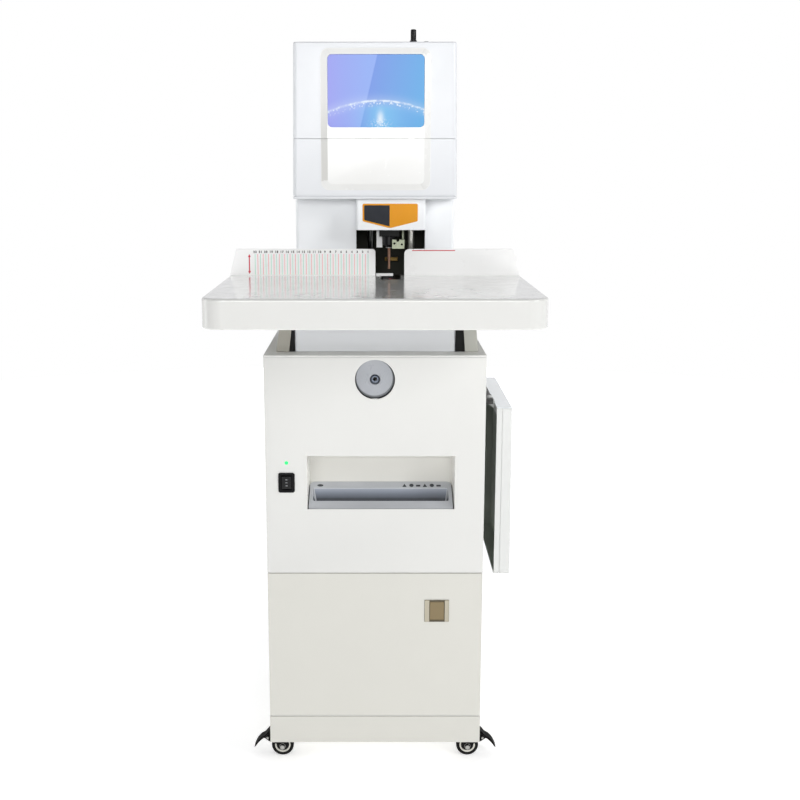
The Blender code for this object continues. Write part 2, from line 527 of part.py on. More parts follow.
# ---------------------------------------------------------------- mechanism
ANVIL_Z = 868.0
ARM_LOW, ARM_HIGH = 1150.0, 1255.0
prism(
    "c_frame",
    [(40, 779), (104, 779), (104, TOP_HIGH + GAP), (284, TOP_HIGH + GAP), (284, ARM_HIGH), (88, ARM_HIGH), (88, ARM_LOW), (200, ARM_LOW), (200, ANVIL_Z), (40, ANVIL_Z)],
    "X", -38, 96, CAST,
)
for side, x in zip(("left", "right"), COLUMN_XS):
    rod(f"guide_column_{side}", (x, COLUMN_Y), "Z", COLUMN_R, ANVIL_Z + GAP, ARM_LOW - GAP, 16, CHROME)

carriage = box("drill_carriage", (-26, 86), (50, 132), (975, 1003), CAST, pivot=(BIT_X, COLUMN_Y, 975))
join(carriage, box("spindle_block", (7.9, 44.5), (50, 75.4), (952.7, 978)))
cut(
    carriage,
    rod("column_bore_left", (COLUMN_XS[0], COLUMN_Y), "Z", COLUMN_R + GAP, 960, 1010, 16),
    rod("column_bore_right", (COLUMN_XS[1], COLUMN_Y), "Z", COLUMN_R + GAP, 960, 1010, 16),
    rod("spindle_bore", (BIT_X, BIT_Y), "Z", 8.4, 940, 1010, 16),
    rod("foot_rod_bore", (51, BIT_Y), "Z", 2.8, 960, 1010, 12),
    box("rivet_guide", (2.3, 14.2), (75.7, 83.5), (960, 1010)),
)
lathe(
    "drill_spindle",
    [(0, 932.6), (7.0, 932.6), (11.4, 937.0), (11.4, 952.3), (8.0, 952.3), (8.0, 1040), (17, 1040), (17, 1056), (0, 1056)],
    (BIT_X, BIT_Y), "Z", 16, BLACK, pivot=(BIT_X, BIT_Y, 932.6),
)
lathe("drill_bit", [(1.8, 892.1), (2.7, 892.1), (2.7, 932.3), (1.8, 932.3)], (BIT_X, BIT_Y), "Z", 12, COPPER, closed=True, pivot=(BIT_X, BIT_Y, 932.6))

foot = box("press_foot", (31.3, 53.9), (44, 47), (930.7, 947.2), STEEL, pivot=(51, BIT_Y, 947.2))
join(foot, box("foot_arm", (45.2, 53.9), (46, 68), (943, 947.2)), lathe("foot_rod", [(0, 945), (2.5, 945), (2.5, 1003.4), (4.6, 1003.4), (4.6, 1008), (2.5, 1008), (2.5, 1018), (0, 1018)], (51, BIT_Y), "Z", 12))
cut(foot, rod("foot_hole", (36.0, 940.5), "Y", 1.8, 40, 50, 12))
box("rivet_head", (2.8, 13.7), (76.2, 83.0), (930.7, 1016), NYLON, pivot=(8.3, 79.5, 930.7))
rod("rivet_die_lower", (8.3, 79.5), "Z", 4.0, ANVIL_Z + GAP, 878, 16, STEEL)
pad = box("drill_pad", (14, 45), (40.3, 88), (ANVIL_Z + GAP, 874.5), NYLON)
join(pad, box("pad_strip", (2.0, 34.0), (84.6, 91.2), (ANVIL_Z + GAP, 882.0)))

# Fluted knob on top of the head.
KNOB_X, KNOB_Y = 68.2, 53.5
flutes = []
for i in range(24):
    r = 4.8 if i % 2 == 0 else 4.1
    t = math.tau * i / 24
    flutes.append((KNOB_X + r * math.cos(t), KNOB_Y + r * math.sin(t)))
knob = prism("top_knob", flutes, "Z", HEAD_TOP + 3, 1316.3, BLACK, pivot=(KNOB_X, KNOB_Y, HEAD_TOP))
join(knob, rod("knob_skirt", (KNOB_X, KNOB_Y), "Z", 6.4, HEAD_TOP + GAP, HEAD_TOP + 4, 20))

# ---------------------------------------------------------------- drop-leaf shelf
shelf = prism(
    "shelf_panel", rounded(SHELF_Y0, SHELF_Y1, SHELF_Z0, SHELF_Z1, (12, 12, 5, 5), 4), "X", SHELF_X0, SHELF_X1, WHITE,
    pivot=(SHELF_AXIS_X, 0.5 * (SHELF_Y0 + SHELF_Y1), SHELF_AXIS_Z),
)
LUGS = ((-72.0, -58.0), (113.0, 127.0))
for i, (lo, hi) in enumerate(LUGS):
    join(shelf, prism(f"lug_{i}", [(SHELF_AXIS_X - 5, SHELF_AXIS_Z - 5), (SHELF_X0 + 2, 655), (SHELF_X0 + 2, SHELF_Z1 - 0.5), (SHELF_AXIS_X + 5, SHELF_AXIS_Z + 5), (SHELF_AXIS_X - 1.5, SHELF_AXIS_Z + 6.5), (SHELF_AXIS_X - 6, SHELF_AXIS_Z + 3)], "Y", lo, hi))
cut(
    shelf,
    prism("shelf_hollow", rounded(SHELF_Y0 + 4, SHELF_Y1 - 4, SHELF_Z0 + 4, SHELF_Z1 - 14, (9, 9, 3, 3), 4), "X", SHELF_X0 - 2, SHELF_X1 - 3),
    rod("lug_bore", (SHELF_AXIS_X, SHELF_AXIS_Z), "Y", 3.3, -90, 150, 16),
)
bracket = box("shelf_hinge_bracket", (HALF + 0.4, HALF + 3), (-96, 151), (650, 690), STEEL)
for i, (lo, hi) in enumerate(((-88, -73), (-57, -42), (97, 112), (128, 143))):
    join(bracket, box(f"knuckle_{i}", (HALF + 2, SHELF_AXIS_X + 4.5), (lo, hi), (SHELF_AXIS_Z - 4.5, SHELF_AXIS_Z + 4.5)))
join(bracket, rod("hinge_pin", (SHELF_AXIS_X, SHELF_AXIS_Z), "Y", 3.0, -92, 147, 16))


# ---------------------------------------------------------------- casters
def caster(tag, sx, sy, trail, pedal):
    """A swivel fork with its axle bolt, and its wheel. trail is the unit direction
    from the swivel axis to the wheel, and u, v are along and across it."""
    across = (-trail[1], trail[0])

    def put(bm, name, material, pivot, **kw):
        turn = Matrix(((trail[0], across[0], 0, sx), (trail[1], across[1], 0, sy), (0, 0, 1, 0), (0, 0, 0, 1)))
        bmesh.ops.transform(bm, matrix=turn, verts=bm.verts)
        world = turn @ Vector((*pivot, 1.0))
        return make(name, bm, material, pivot=world[:3], **kw)

    swivel = (0, 0, FLOOR_LOW)
    fork = put(prism_mesh(rounded(-15, 39, -14.9, 14.9, (10, 5, 5, 10), 3), "Z", 43.5, 47.5), f"caster_fork_{tag}", BLACK, swivel)
    leg = [(4, 46), (38, 46), (28.5, 17), (22, 13.5), (15.5, 17)]
    if pedal:
        leg = [(4, 46), (44, 46), (50, 42.6), (53.4, 39.6), (54.6, 37.4), (53, 35.2), (50.7, 33.1), (47.9, 30.9), (45.2, 29.5), (39, 27.4), (33, 25), (28.5, 17), (22, 13.5), (15.5, 17)]
    parts = [put(lathe_mesh([(0, 46), (14, 46), (14, 54), (11, FLOOR_LOW - 0.5), (0, FLOOR_LOW - 0.5)], (0, 0), "Z", 20), f"race_{tag}", None, swivel)]
    for i, (lo, hi) in enumerate(((-14.5, -11.5), (11.5, 14.5))):
        parts.append(put(prism_mesh(leg, "Y", lo, hi), f"leg_{tag}_{i}", None, swivel))
    bolt = [(0, -19), (5, -19), (5, -14), (3, -14), (3, 14), (5, 14), (5, 19), (0, 19)]
    parts.append(put(lathe_mesh(bolt, (TRAIL, WHEEL_R), "Y", 12), f"axle_{tag}", None, swivel))
    if pedal:
        pin = [(0, -17), (3.8, -17), (3.8, -14), (2.5, -14), (2.5, 14), (3.8, 14), (3.8, 17), (0, 17)]
        parts.append(put(lathe_mesh(pin, (PEDAL_U, PEDAL_Z), "Y", 12), f"pedal_pin_{tag}", None, swivel))
    join(fork, *parts)

    half = WHEEL_W / 2
    rim = [(3.3, -half), (8, -half), (8, -half + 1.5), (13.5, -half + 1.5), (15, -half), (17.5, -half), (WHEEL_R, -half + 3)]
    ring = rim + [(r, -v) for r, v in reversed(rim)]
    put(lathe_mesh(ring, (TRAIL, WHEEL_R), "Y", 24, True), f"caster_wheel_{tag}", RUBBER, (TRAIL, 0, WHEEL_R), smooth=True)
    if pedal:
        claw = [
            (45.2, 51.0), (46.6, 49.4), (50.2, 45.6), (53.1, 41.8), (55.6, 39.2), (58.9, 37.2), (61.7, 35.8), (65.1, 32.6), (68.8, 28.2), (71.7, 23.3),
            (73.9, 18.8), (75.2, 15.4), (73.4, 16.8), (71.6, 18.8), (69.3, 22.2), (66.6, 25.6), (63.0, 29.4), (59.8, 32.2), (56.6, 34.4), (53.8, 33.2),
            (50.7, 32.0), (47.9, 32.0), (45.4, 33.5), (44.9, 40.0),
        ]
        lever = put(prism_mesh(claw, "Y", -10.3, 10.3), f"brake_pedal_{tag}", BLACK, (PEDAL_U, 0, PEDAL_Z))
        bore = put(lathe_mesh([(0, -15), (2.8, -15), (2.8, 15), (0, 15)], (PEDAL_U, PEDAL_Z), "Y", 12), f"pedal_bore_{tag}", None, (PEDAL_U, 0, PEDAL_Z))
        cut(lever, bore)


caster("front_left", -SWIVEL_X, SWIVEL_FRONT_Y, (-1.0, 0.0), True)
caster("front_right", SWIVEL_X, SWIVEL_FRONT_Y, (1.0, 0.0), True)
caster("rear_left", -SWIVEL_X, SWIVEL_REAR_Y, (0.0, -1.0), False)
caster("rear_right", SWIVEL_X, SWIVEL_REAR_Y, (0.0, -1.0), False)
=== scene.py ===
"""Looks of the document riveting machine: finishes, fine shapes, light and camera.

Every shape below is given in millimetres in the frame's own axes: X to the right,
Y to the back, Z up, the origin on the floor.
"""

import json
import math

import bmesh
import bpy
from mathutils import Matrix, Vector


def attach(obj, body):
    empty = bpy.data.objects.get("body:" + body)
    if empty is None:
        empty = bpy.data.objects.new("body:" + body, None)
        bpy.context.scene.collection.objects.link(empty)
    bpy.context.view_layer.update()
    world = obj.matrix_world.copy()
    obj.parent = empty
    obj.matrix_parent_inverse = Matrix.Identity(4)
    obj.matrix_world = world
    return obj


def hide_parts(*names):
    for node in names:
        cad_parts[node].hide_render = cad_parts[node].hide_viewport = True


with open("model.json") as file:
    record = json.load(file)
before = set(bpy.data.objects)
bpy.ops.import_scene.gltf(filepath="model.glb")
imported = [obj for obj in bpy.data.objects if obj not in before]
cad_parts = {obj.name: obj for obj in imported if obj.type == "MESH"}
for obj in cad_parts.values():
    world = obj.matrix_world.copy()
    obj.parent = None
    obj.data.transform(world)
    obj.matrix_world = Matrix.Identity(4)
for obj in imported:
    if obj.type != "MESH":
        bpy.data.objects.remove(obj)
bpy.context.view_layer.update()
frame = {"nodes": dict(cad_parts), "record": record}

MM = 0.001
NODES = frame["nodes"]
BODY_OF = {n: b for b, ns in frame["record"]["behaviour"]["bodies"].items() for n in ns}

FRONT, BACK, HALF = -146.5, 313.5, 190.0
TABLE_HALF, TABLE_FRONT, TABLE_REAR, TABLE_LOW, TABLE_TOP = 271.5, -313.5, 91.7, 830.4, 879.0
HEAD_FRONT, HEAD_LOW, HEAD_SEAM, HEAD_TOP, HEAD_REAR = 22.5, 1020.8, 1126.7, 1292.6, 300.0
DISH_Z = 722.1


# ---------------------------------------------------------------- shape helpers
def place(axis, a, b, c):
    return {"X": (c, a, b), "Y": (a, c, b), "Z": (a, b, c)}[axis]


def prism_bm(outline, axis, lo, hi):
    bm = bmesh.new()
    low = [bm.verts.new(place(axis, a, b, lo)) for a, b in outline]
    high = [bm.verts.new(place(axis, a, b, hi)) for a, b in outline]
    bm.faces.new(low)
    bm.faces.new(list(reversed(high)))
    for i in range(len(low)):
        j = (i + 1) % len(low)
        bm.faces.new((low[j], low[i], high[i], high[j]))
    return bm


def box_bm(x, y, z):
    return prism_bm([(x[0], y[0]), (x[1], y[0]), (x[1], y[1]), (x[0], y[1])], "Z", z[0], z[1])


def rounded(a0, a1, b0, b1, radii, steps=8):
    if not isinstance(radii, (tuple, list)):
        radii = (radii,) * 4
    corners = ((a0, b0, 180), (a1, b0, 270), (a1, b1, 0), (a0, b1, 90))
    inward = ((1, 1), (-1, 1), (-1, -1), (1, -1))
    points = []
    for (a, b, start), (sa, sb), r in zip(corners, inward, radii):
        if r <= 0:
            points.append((a, b))
            continue
        for i in range(steps + 1):
            t = math.radians(start + 90 * i / steps)
            points.append((a + sa * r + r * math.cos(t), b + sb * r + r * math.sin(t)))
    return points


def arc_corner(a, b, r, start, end, steps=6):
    """The rounding of an upper corner whose sharp point would be at (a, b)."""
    ca = a + r if start > 90 else a - r
    return [(ca + r * math.cos(math.radians(start + (end - start) * i / steps)), b - r + r * math.sin(math.radians(start + (end - start) * i / steps))) for i in range(steps + 1)]


def circle(a, b, r, n=32, turn=0.0):
    return [(a + r * math.cos(turn + math.tau * i / n), b + r * math.sin(turn + math.tau * i / n)) for i in range(n)]


def rod_bm(centre, axis, r, lo, hi, n=32):
    return prism_bm(circle(centre[0], centre[1], r, n), axis, lo, hi)


def lathe_bm(profile, centre, axis, n=48, closed=False):
    bm = bmesh.new()
    loops = []
    for r, h in profile:
        if r <= 0:
            loops.append([bm.verts.new(place(axis, centre[0], centre[1], h))])
        else:
            loops.append([bm.verts.new(place(axis, a, b, h)) for a, b in circle(centre[0], centre[1], r, n)])
    pairs = list(zip(loops, loops[1:]))
    if closed:
        pairs.append((loops[-1], loops[0]))
    for one, two in pairs:
        for i in range(n):
            j = (i + 1) % n
            face = []
            for v in (one[i % len(one)], one[j % len(one)], two[j % len(two)], two[i % len(two)]):
                if v not in face:
                    face.append(v)
            if len(face) > 2:
                bm.faces.new(face)
    return bm


def loft_bm(layers):
    bm = bmesh.new()
    loops = [[bm.verts.new((x, y, z)) for x, y in outline] for outline, z in layers]
    bm.faces.new(list(reversed(loops[0])))
    bm.faces.new(loops[-1])
    for low, high in zip(loops, loops[1:]):
        for i in range(len(low)):
            j = (i + 1) % len(low)
            bm.faces.new((low[i], low[j], high[j], high[i]))
    return bm


def merged(*parts):
    """Several separate bodies in one mesh."""
    whole = bmesh.new()
    for bm in parts:
        mesh = bpy.data.meshes.new("tmp")
        bm.to_mesh(mesh)
        bm.free()
        whole.from_mesh(mesh)
        bpy.data.meshes.remove(mesh)
    return whole


def to_object(name, bm, scale=MM):
    bmesh.ops.remove_doubles(bm, verts=bm.verts, dist=1e-4 * scale / MM)
    bmesh.ops.recalc_face_normals(bm, faces=bm.faces)
    bmesh.ops.scale(bm, verts=bm.verts, vec=(scale, scale, scale))
    mesh = bpy.data.meshes.new(name)
    bm.to_mesh(mesh)
    bm.free()
    ob = bpy.data.objects.new(name, mesh)
    bpy.context.scene.collection.objects.link(ob)
    return ob


def bake_modifiers(ob):
    deps = bpy.context.evaluated_depsgraph_get()
    deps.update()
    mesh = bpy.data.meshes.new_from_object(ob.evaluated_get(deps), depsgraph=deps)
    ob.modifiers.clear()
    old = ob.data
    ob.data = mesh
    bpy.data.meshes.remove(old)


def carve(ob, cuts=(), joins=()):
    for how, shapes in (("UNION", joins), ("DIFFERENCE", cuts)):
        for bm in shapes:
            tool = to_object("tool", bm)
            mod = ob.modifiers.new("shape", "BOOLEAN")
            mod.operation = how
            mod.solver = "EXACT"
            mod.object = tool
            bake_modifiers(ob)
            mesh = tool.data
            bpy.data.objects.remove(tool, do_unlink=True)
            bpy.data.meshes.remove(mesh)


def polish(ob, bevel=0.0, segments=3, sharp=40.0, flat=False):
    """Round the edges, and shade so that flat faces stay flat."""
    if bevel > 0:
        mod = ob.modifiers.new("edge", "BEVEL")
        mod.width = bevel * MM
        mod.segments = segments
        mod.limit_method = "ANGLE"
        mod.angle_limit = math.radians(32)
        mod.use_clamp_overlap = True
        mod.miter_outer = "MITER_ARC"
        bake_modifiers(ob)
    ob.data.shade_smooth()
    ob.data.set_sharp_from_angle(angle=math.radians(sharp))
    if bevel > 0 or flat:
        mod = ob.modifiers.new("normals", "WEIGHTED_NORMAL")
        mod.keep_sharp = True
        bake_modifiers(ob)


def piece(name, bm, material, body, bevel=0.0, segments=3, sharp=40.0, cuts=(), joins=(), holes=(), replaces=(), flat=False):
    """One visible piece riding on a body. replaces names the CAD nodes it stands for.
    cuts are made before the edges are rounded, and holes after it, so holes stay crisp."""
    ob = to_object(name, bm)
    carve(ob, cuts, joins)
    polish(ob, bevel, segments, sharp, flat)
    if holes:
        carve(ob, holes)
        polish(ob, 0.0, 0, sharp)
    ob.data.materials.clear()
    ob.data.materials.append(material)
    for polygon in ob.data.polygons:
        polygon.material_index = 0
    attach(ob, body)
    if replaces:
        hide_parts(*replaces)
    return ob


def refined(node, material, bevel=0.5, segments=3, sharp=40.0, cuts=()):
    """The CAD node's own shape with rounded edges."""
    bm = bmesh.new()
    bm.from_mesh(NODES[node].data)
    bmesh.ops.scale(bm, verts=bm.verts, vec=(1 / MM,) * 3)
    bmesh.ops.remove_doubles(bm, verts=bm.verts, dist=1e-3)
    bmesh.ops.dissolve_limit(bm, angle_limit=math.radians(0.4), verts=bm.verts, edges=bm.edges)
    return piece(node + "_skin", bm, material, BODY_OF[node], bevel, segments, sharp, cuts=cuts, replaces=(node,))


def dress(node, material):
    """Keep the CAD node and give it its finish."""
    ob = NODES[node]
    for slot in ob.material_slots:
        slot.material = material


# ---------------------------------------------------------------- finishes
def linear(rgb):
    out = []
    for c in rgb:
        c = c / 255.0
        out.append(c / 12.92 if c <= 0.04045 else ((c + 0.055) / 1.055) ** 2.4)
    return (*out, 1.0)


class Finish:
    """A Principled material with a small kit for adding nodes."""

    def __init__(self, name, roughness=0.5, metallic=0.0, coat=0.0, coat_rough=0.05, ior=1.45, specular=0.5):
        self.mat = bpy.data.materials.new(name)
        self.mat.use_nodes = True
        self.tree = self.mat.node_tree
        self.shader = self.tree.nodes["Principled BSDF"]
        self.set("Roughness", roughness)
        self.set("Metallic", metallic)
        self.set("Coat Weight", coat)
        self.set("Coat Roughness", coat_rough)
        self.set("IOR", ior)
        self.set("Specular IOR Level", specular)
        self.coord = self.node("ShaderNodeTexCoord").outputs["Object"]

    def node(self, kind, **values):
        made = self.tree.nodes.new(kind)
        for key, value in values.items():
            setattr(made, key, value)
        return made

    def link(self, a, b):
        self.tree.links.new(a, b)

    def set(self, socket, value):
        self.shader.inputs[socket].default_value = value

    def noise(self, scale, detail=2.0, rough=0.5, stretch=None):
        made = self.node("ShaderNodeTexNoise")
        made.inputs["Scale"].default_value = scale
        made.inputs["Detail"].default_value = detail
        made.inputs["Roughness"].default_value = rough
        source = self.coord
        if stretch:
            mapping = self.node("ShaderNodeMapping")
            mapping.inputs["Scale"].default_value = stretch
            self.link(self.coord, mapping.inputs["Vector"])
            source = mapping.outputs["Vector"]
        self.link(source, made.inputs["Vector"])
        return made.outputs["Fac"]

    def ramp(self, fac, stops):
        made = self.node("ShaderNodeValToRGB")
        ramp = made.color_ramp
        while len(ramp.elements) < len(stops):
            ramp.elements.new(0.5)
        for element, (position, colour) in zip(ramp.elements, stops):
            element.position = position
            element.color = colour
        self.link(fac, made.inputs["Fac"])
        return made.outputs["Color"]

    def spread(self, fac, lo, hi, low=0.3, high=0.7):
        made = self.node("ShaderNodeMapRange")
        made.inputs["From Min"].default_value = low
        made.inputs["From Max"].default_value = high
        made.inputs["To Min"].default_value = lo
        made.inputs["To Max"].default_value = hi
        self.link(fac, made.inputs["Value"])
        return made.outputs["Result"]

    def bump(self, height, strength, distance, chain=None):
        made = self.node("ShaderNodeBump")
        made.inputs["Strength"].default_value = strength
        made.inputs["Distance"].default_value = distance
        self.link(height, made.inputs["Height"])
        if chain:
            self.link(chain, made.inputs["Normal"])
        return made.outputs["Normal"]

    def math(self, operation, a, b=None):
        made = self.node("ShaderNodeMath", operation=operation)
        for socket, value in zip(made.inputs, (a, b)):
            if value is None:
                continue
            if isinstance(value, (int, float)):
                socket.default_value = value
            else:
                self.link(value, socket)
        return made.outputs[0]

    def base(self, colour):
        self.link(colour, self.shader.inputs["Base Color"])

    def rough(self, value):
        self.link(value, self.shader.inputs["Roughness"])

    def normal(self, value):
        self.link(value, self.shader.inputs["Normal"])


def shift(rgb, amount):
    return tuple(max(0, min(255, c + amount)) for c in rgb)


def painted(name, rgb, roughness, peel=0.10, peel_scale=650.0, vary=2.0, coat=0.0, specular=0.5):
    """Sprayed or powder-coated metal: orange peel, slight tone changes, uneven sheen."""
    f = Finish(name, roughness, coat=coat, coat_rough=0.12, specular=specular)
    broad = f.noise(3.2, 3.0, 0.55)
    f.base(f.ramp(broad, [(0.30, linear(shift(rgb, -vary))), (0.72, linear(shift(rgb, vary * 0.6)))]))
    patch = f.noise(38.0, 4.0, 0.6)
    f.rough(f.spread(patch, roughness - 0.05, roughness + 0.06))
    peel_noise = f.noise(peel_scale, 2.0, 0.5)
    f.normal(f.bump(peel_noise, peel, 0.00025))
    return f.mat


def moulded(name, rgb, roughness, texture=0.15, scale=1500.0, vary=2.0, coat=0.0, specular=0.5):
    """Injection-moulded plastic: fine spark-eroded texture and faint flow marks."""
    f = Finish(name, roughness, coat=coat, coat_rough=0.08, specular=specular)
    flow = f.noise(14.0, 2.0, 0.5, (1.0, 1.0, 0.35))
    f.base(f.ramp(flow, [(0.32, linear(shift(rgb, -vary))), (0.70, linear(shift(rgb, vary)))]))
    f.rough(f.spread(f.noise(70.0, 3.0), roughness - 0.05, roughness + 0.06))
    f.normal(f.bump(f.noise(scale, 1.5), texture, 0.00012))
    return f.mat


def metal(name, rgb, roughness, brushed=None, scale=260.0, vary=6.0, bump=0.12):
    """Machined or brushed metal; brushed stretches the grain along one axis."""
    f = Finish(name, roughness, metallic=1.0)
    grain = f.noise(scale, 4.0, 0.65, brushed)
    f.base(f.ramp(grain, [(0.30, linear(shift(rgb, -vary))), (0.70, linear(shift(rgb, vary)))]))
    f.rough(f.spread(grain, max(0.03, roughness - 0.06), roughness + 0.08))
    f.normal(f.bump(grain, bump, 0.00008))
    return f.mat


CABINET = painted("cabinet_powder_coat", (208, 208, 205), 0.52)
# painted shade: the door and plinth take a darker copy of the cabinet paint, shaded as the light falls from above, and
# a little warmer in tone
CABINET_LOW_SHADE = painted("cabinet_powder_coat_low_painted_shade", (203, 202, 195), 0.52)
COVER = painted("cover_paint", (221, 223, 226), 0.34, peel=0.06)
# painted light: a brighter copy of the cover paint for the column cover and throat guard, standing in for light under
# the head's overhang
COLUMN_LIT = painted("column_paint_painted_light", (243, 245, 247), 0.38, peel=0.06)
TABLE = painted("table_lacquer", (209, 209, 206), 0.20, peel=0.0, vary=1.0, coat=0.82)
FENCE = painted("fence_lacquer", (246, 246, 245), 0.30, peel=0.04)
BEZEL = moulded("bezel_gloss", (237, 237, 235), 0.22, texture=0.02, vary=1.0, coat=0.2)
# painted shade: a darker copy of the bezel finish for the sloping border
BEZEL_BORDER_SHADE = moulded("bezel_border_painted_shade", (224, 224, 222), 0.26, texture=0.02, vary=1.0, coat=0.1)
SHELF = painted("shelf_paint", (209, 210, 208), 0.38, peel=0.08)
# painted light: a brighter, bluish-white copy of the shelf paint for the shelf's upward faces, lit as if from above
SHELF_TOP_LIT = painted("shelf_top_painted_light", (246, 251, 255), 0.16, peel=0.0, vary=0.5, coat=1.0)
RECESS = moulded("recess_moulding", (214, 213, 207), 0.48)
# painted light: a lighter copy of the recess moulding for the recess's side walls, standing in for light that reaches
# them
RECESS_SIDE_LIT = moulded("recess_side_painted_light", (250, 249, 245), 0.48)
SILVER = moulded("silver_moulding", (186, 189, 194), 0.36, texture=0.22, scale=2200.0, vary=4.0)
DISH = moulded("dish_satin", (154, 157, 162), 0.30, texture=0.10, vary=5.0)
# painted shade: a darker copy of the dish finish for the rim that falls away from the light
DISH_RIM_SHADE = moulded("dish_rim_painted_shade", (112, 115, 118), 0.38, texture=0.12)
FUNNEL = moulded("funnel_grey", (168, 176, 190), 0.22, texture=0.05)
SLATE = moulded("slate_ring", (60, 70, 85), 0.35, texture=0.1)


def trough_shade_finish():
    """Grey moulding with painted shade that darkens towards the slot."""
    f = Finish("trough_moulding_painted_shade", 0.42)
    split = f.node("ShaderNodeSeparateXYZ")
    f.link(f.coord, split.inputs[0])
    depth = f.math("ADD", f.spread(split.outputs["Z"], 0.0, 1.0, 0.4985, 0.5145), f.math("MULTIPLY", f.noise(60.0, 3.0), 0.06))
    f.base(f.ramp(depth, [(0.0, linear((50, 54, 60))), (0.12, linear((84, 90, 100))), (0.5, linear((118, 125, 137))), (1.0, linear((150, 157, 169)))]))
    return f.mat


TROUGH_SHADE = trough_shade_finish()


def border_shade_finish():
    """Painted shade on the panel's left border, a little darker towards its foot."""
    f = Finish("bezel_border_left_painted_shade", 0.26)
    split = f.node("ShaderNodeSeparateXYZ")
    f.link(f.coord, split.inputs[0])
    height = f.math("ADD", f.spread(split.outputs["Z"], 0.0, 1.0, 1.06, 1.20), f.math("MULTIPLY", f.noise(50.0, 2.0), 0.05))
    f.base(f.ramp(height, [(0.0, linear((218, 217, 213))), (0.5, linear((216, 216, 213))), (1.0, linear((232, 232, 230)))]))
    return f.mat


BEZEL_BORDER_LEFT_SHADE = border_shade_finish()
SLOT_GREY = moulded("slot_moulding", (118, 125, 136), 0.42, texture=0.2)
STEEL = metal("machined_steel", (176, 176, 174), 0.30, (1.0, 1.0, 0.05))
ZINC = metal("zinc_plate", (188, 189, 186), 0.34, None, 420.0, 10.0)
CHROME = metal("hard_chrome", (226, 227, 228), 0.20, (0.2, 0.2, 1.0), 500.0, 3.0, 0.03)
CARD = moulded("card_white", (246, 246, 245), 0.5, texture=0.05)
BLACK = moulded("black_moulding", (11, 11, 12), 0.48, texture=0.3, specular=0.15)
BLACK_GLOSS = moulded("black_gloss_moulding", (14, 14, 15), 0.30, texture=0.1, specular=0.28)
# black casting paint; on the table brackets' inner faces and webs it is painted shade
CAST_AND_SHADE = painted("black_casting_and_painted_shade", (20, 21, 20), 0.55, peel=0.5, peel_scale=420.0, specular=0.2)
# painted shade and light: the left table bracket is painted darker as it stands in shade, the right one lighter as it
# is lit
BRACKET_LEFT_SHADE = painted("bracket_paint_painted_shade", (163, 160, 150), 0.48)
BRACKET_RIGHT_LIT = painted("bracket_paint_right_painted_light", (180, 180, 172), 0.48)
BRONZE = moulded("bronze_moulding", (124, 108, 76), 0.36, texture=0.2, vary=5.0)
BRONZE_DARK = moulded("bronze_shadow", (92, 85, 68), 0.45, texture=0.2, vary=4.0)
BRONZE_LIGHT = moulded("bronze_rail", (172, 165, 147), 0.36, texture=0.15, vary=4.0)
NYLON = moulded("white_nylon", (247, 248, 247), 0.36)
DARKGREY = moulded("dark_grey_moulding", (62, 62, 60), 0.50, texture=0.25)
BIN = moulded("bin_moulding", (104, 107, 112), 0.48, texture=0.35, scale=900.0)
RUBBER = moulded("tread_rubber", (15, 15, 15), 0.62, texture=0.45, scale=700.0, specular=0.18)
PEDAL = moulded("pedal_moulding", (13, 13, 13), 0.62, texture=0.3, specular=0.1)
HUB = moulded("wheel_hub", (20, 20, 21), 0.42, specular=0.25)
# painted highlight: a pale ring that stands in for the highlight on the wheel hub's edge
HUB_RING_HIGHLIGHT = painted("hub_ring_painted_highlight", (226, 224, 214), 0.30, peel=0.0)
PLATED = metal("bright_plate", (172, 172, 168), 0.30, None, 420.0, 6.0)
GREYSHEET = painted("galvanised_tray", (138, 139, 138), 0.42, vary=9.0)
COPPERTONE = metal("drill_coating", (146, 113, 96), 0.38, (1.0, 1.0, 0.3), 900.0, 12.0, 0.3)
INK_BLACK = moulded("scale_ink", (18, 18, 19), 0.6, texture=0.0)
INK_GREEN = moulded("scale_green", (172, 226, 204), 0.6, texture=0.0)
INK_PINK = moulded("scale_pink", (240, 162, 168), 0.6, texture=0.0)
INK_RED = moulded("scale_red", (206, 38, 62), 0.6, texture=0.0)
GRAPHITE = moulded("graphite_plate", (27, 31, 40), 0.42, texture=0.1, specular=0.25)
AMBER = moulded("amber_plate", (228, 152, 16), 0.42, texture=0.1, specular=0.25)
INK_GREY = moulded("mark_grey", (64, 67, 72), 0.6, texture=0.0)
MARK = moulded("switch_mark", (150, 151, 153), 0.55, texture=0.0)
HOLLOW = moulded("shelf_inside", (160, 168, 158), 0.5, specular=0.25)


def glow(name, rgb, strength, base=(10, 30, 16)):
    f = Finish(name, 0.25)
    f.base(f.ramp(f.noise(500.0, 2.0), [(0.3, linear(base)), (0.7, linear(shift(base, 8)))]))
    f.set("Emission Color", linear(rgb))
    f.set("Emission Strength", strength)
    return f.mat


LED = glow("status_light", (40, 255, 120), 1.6)


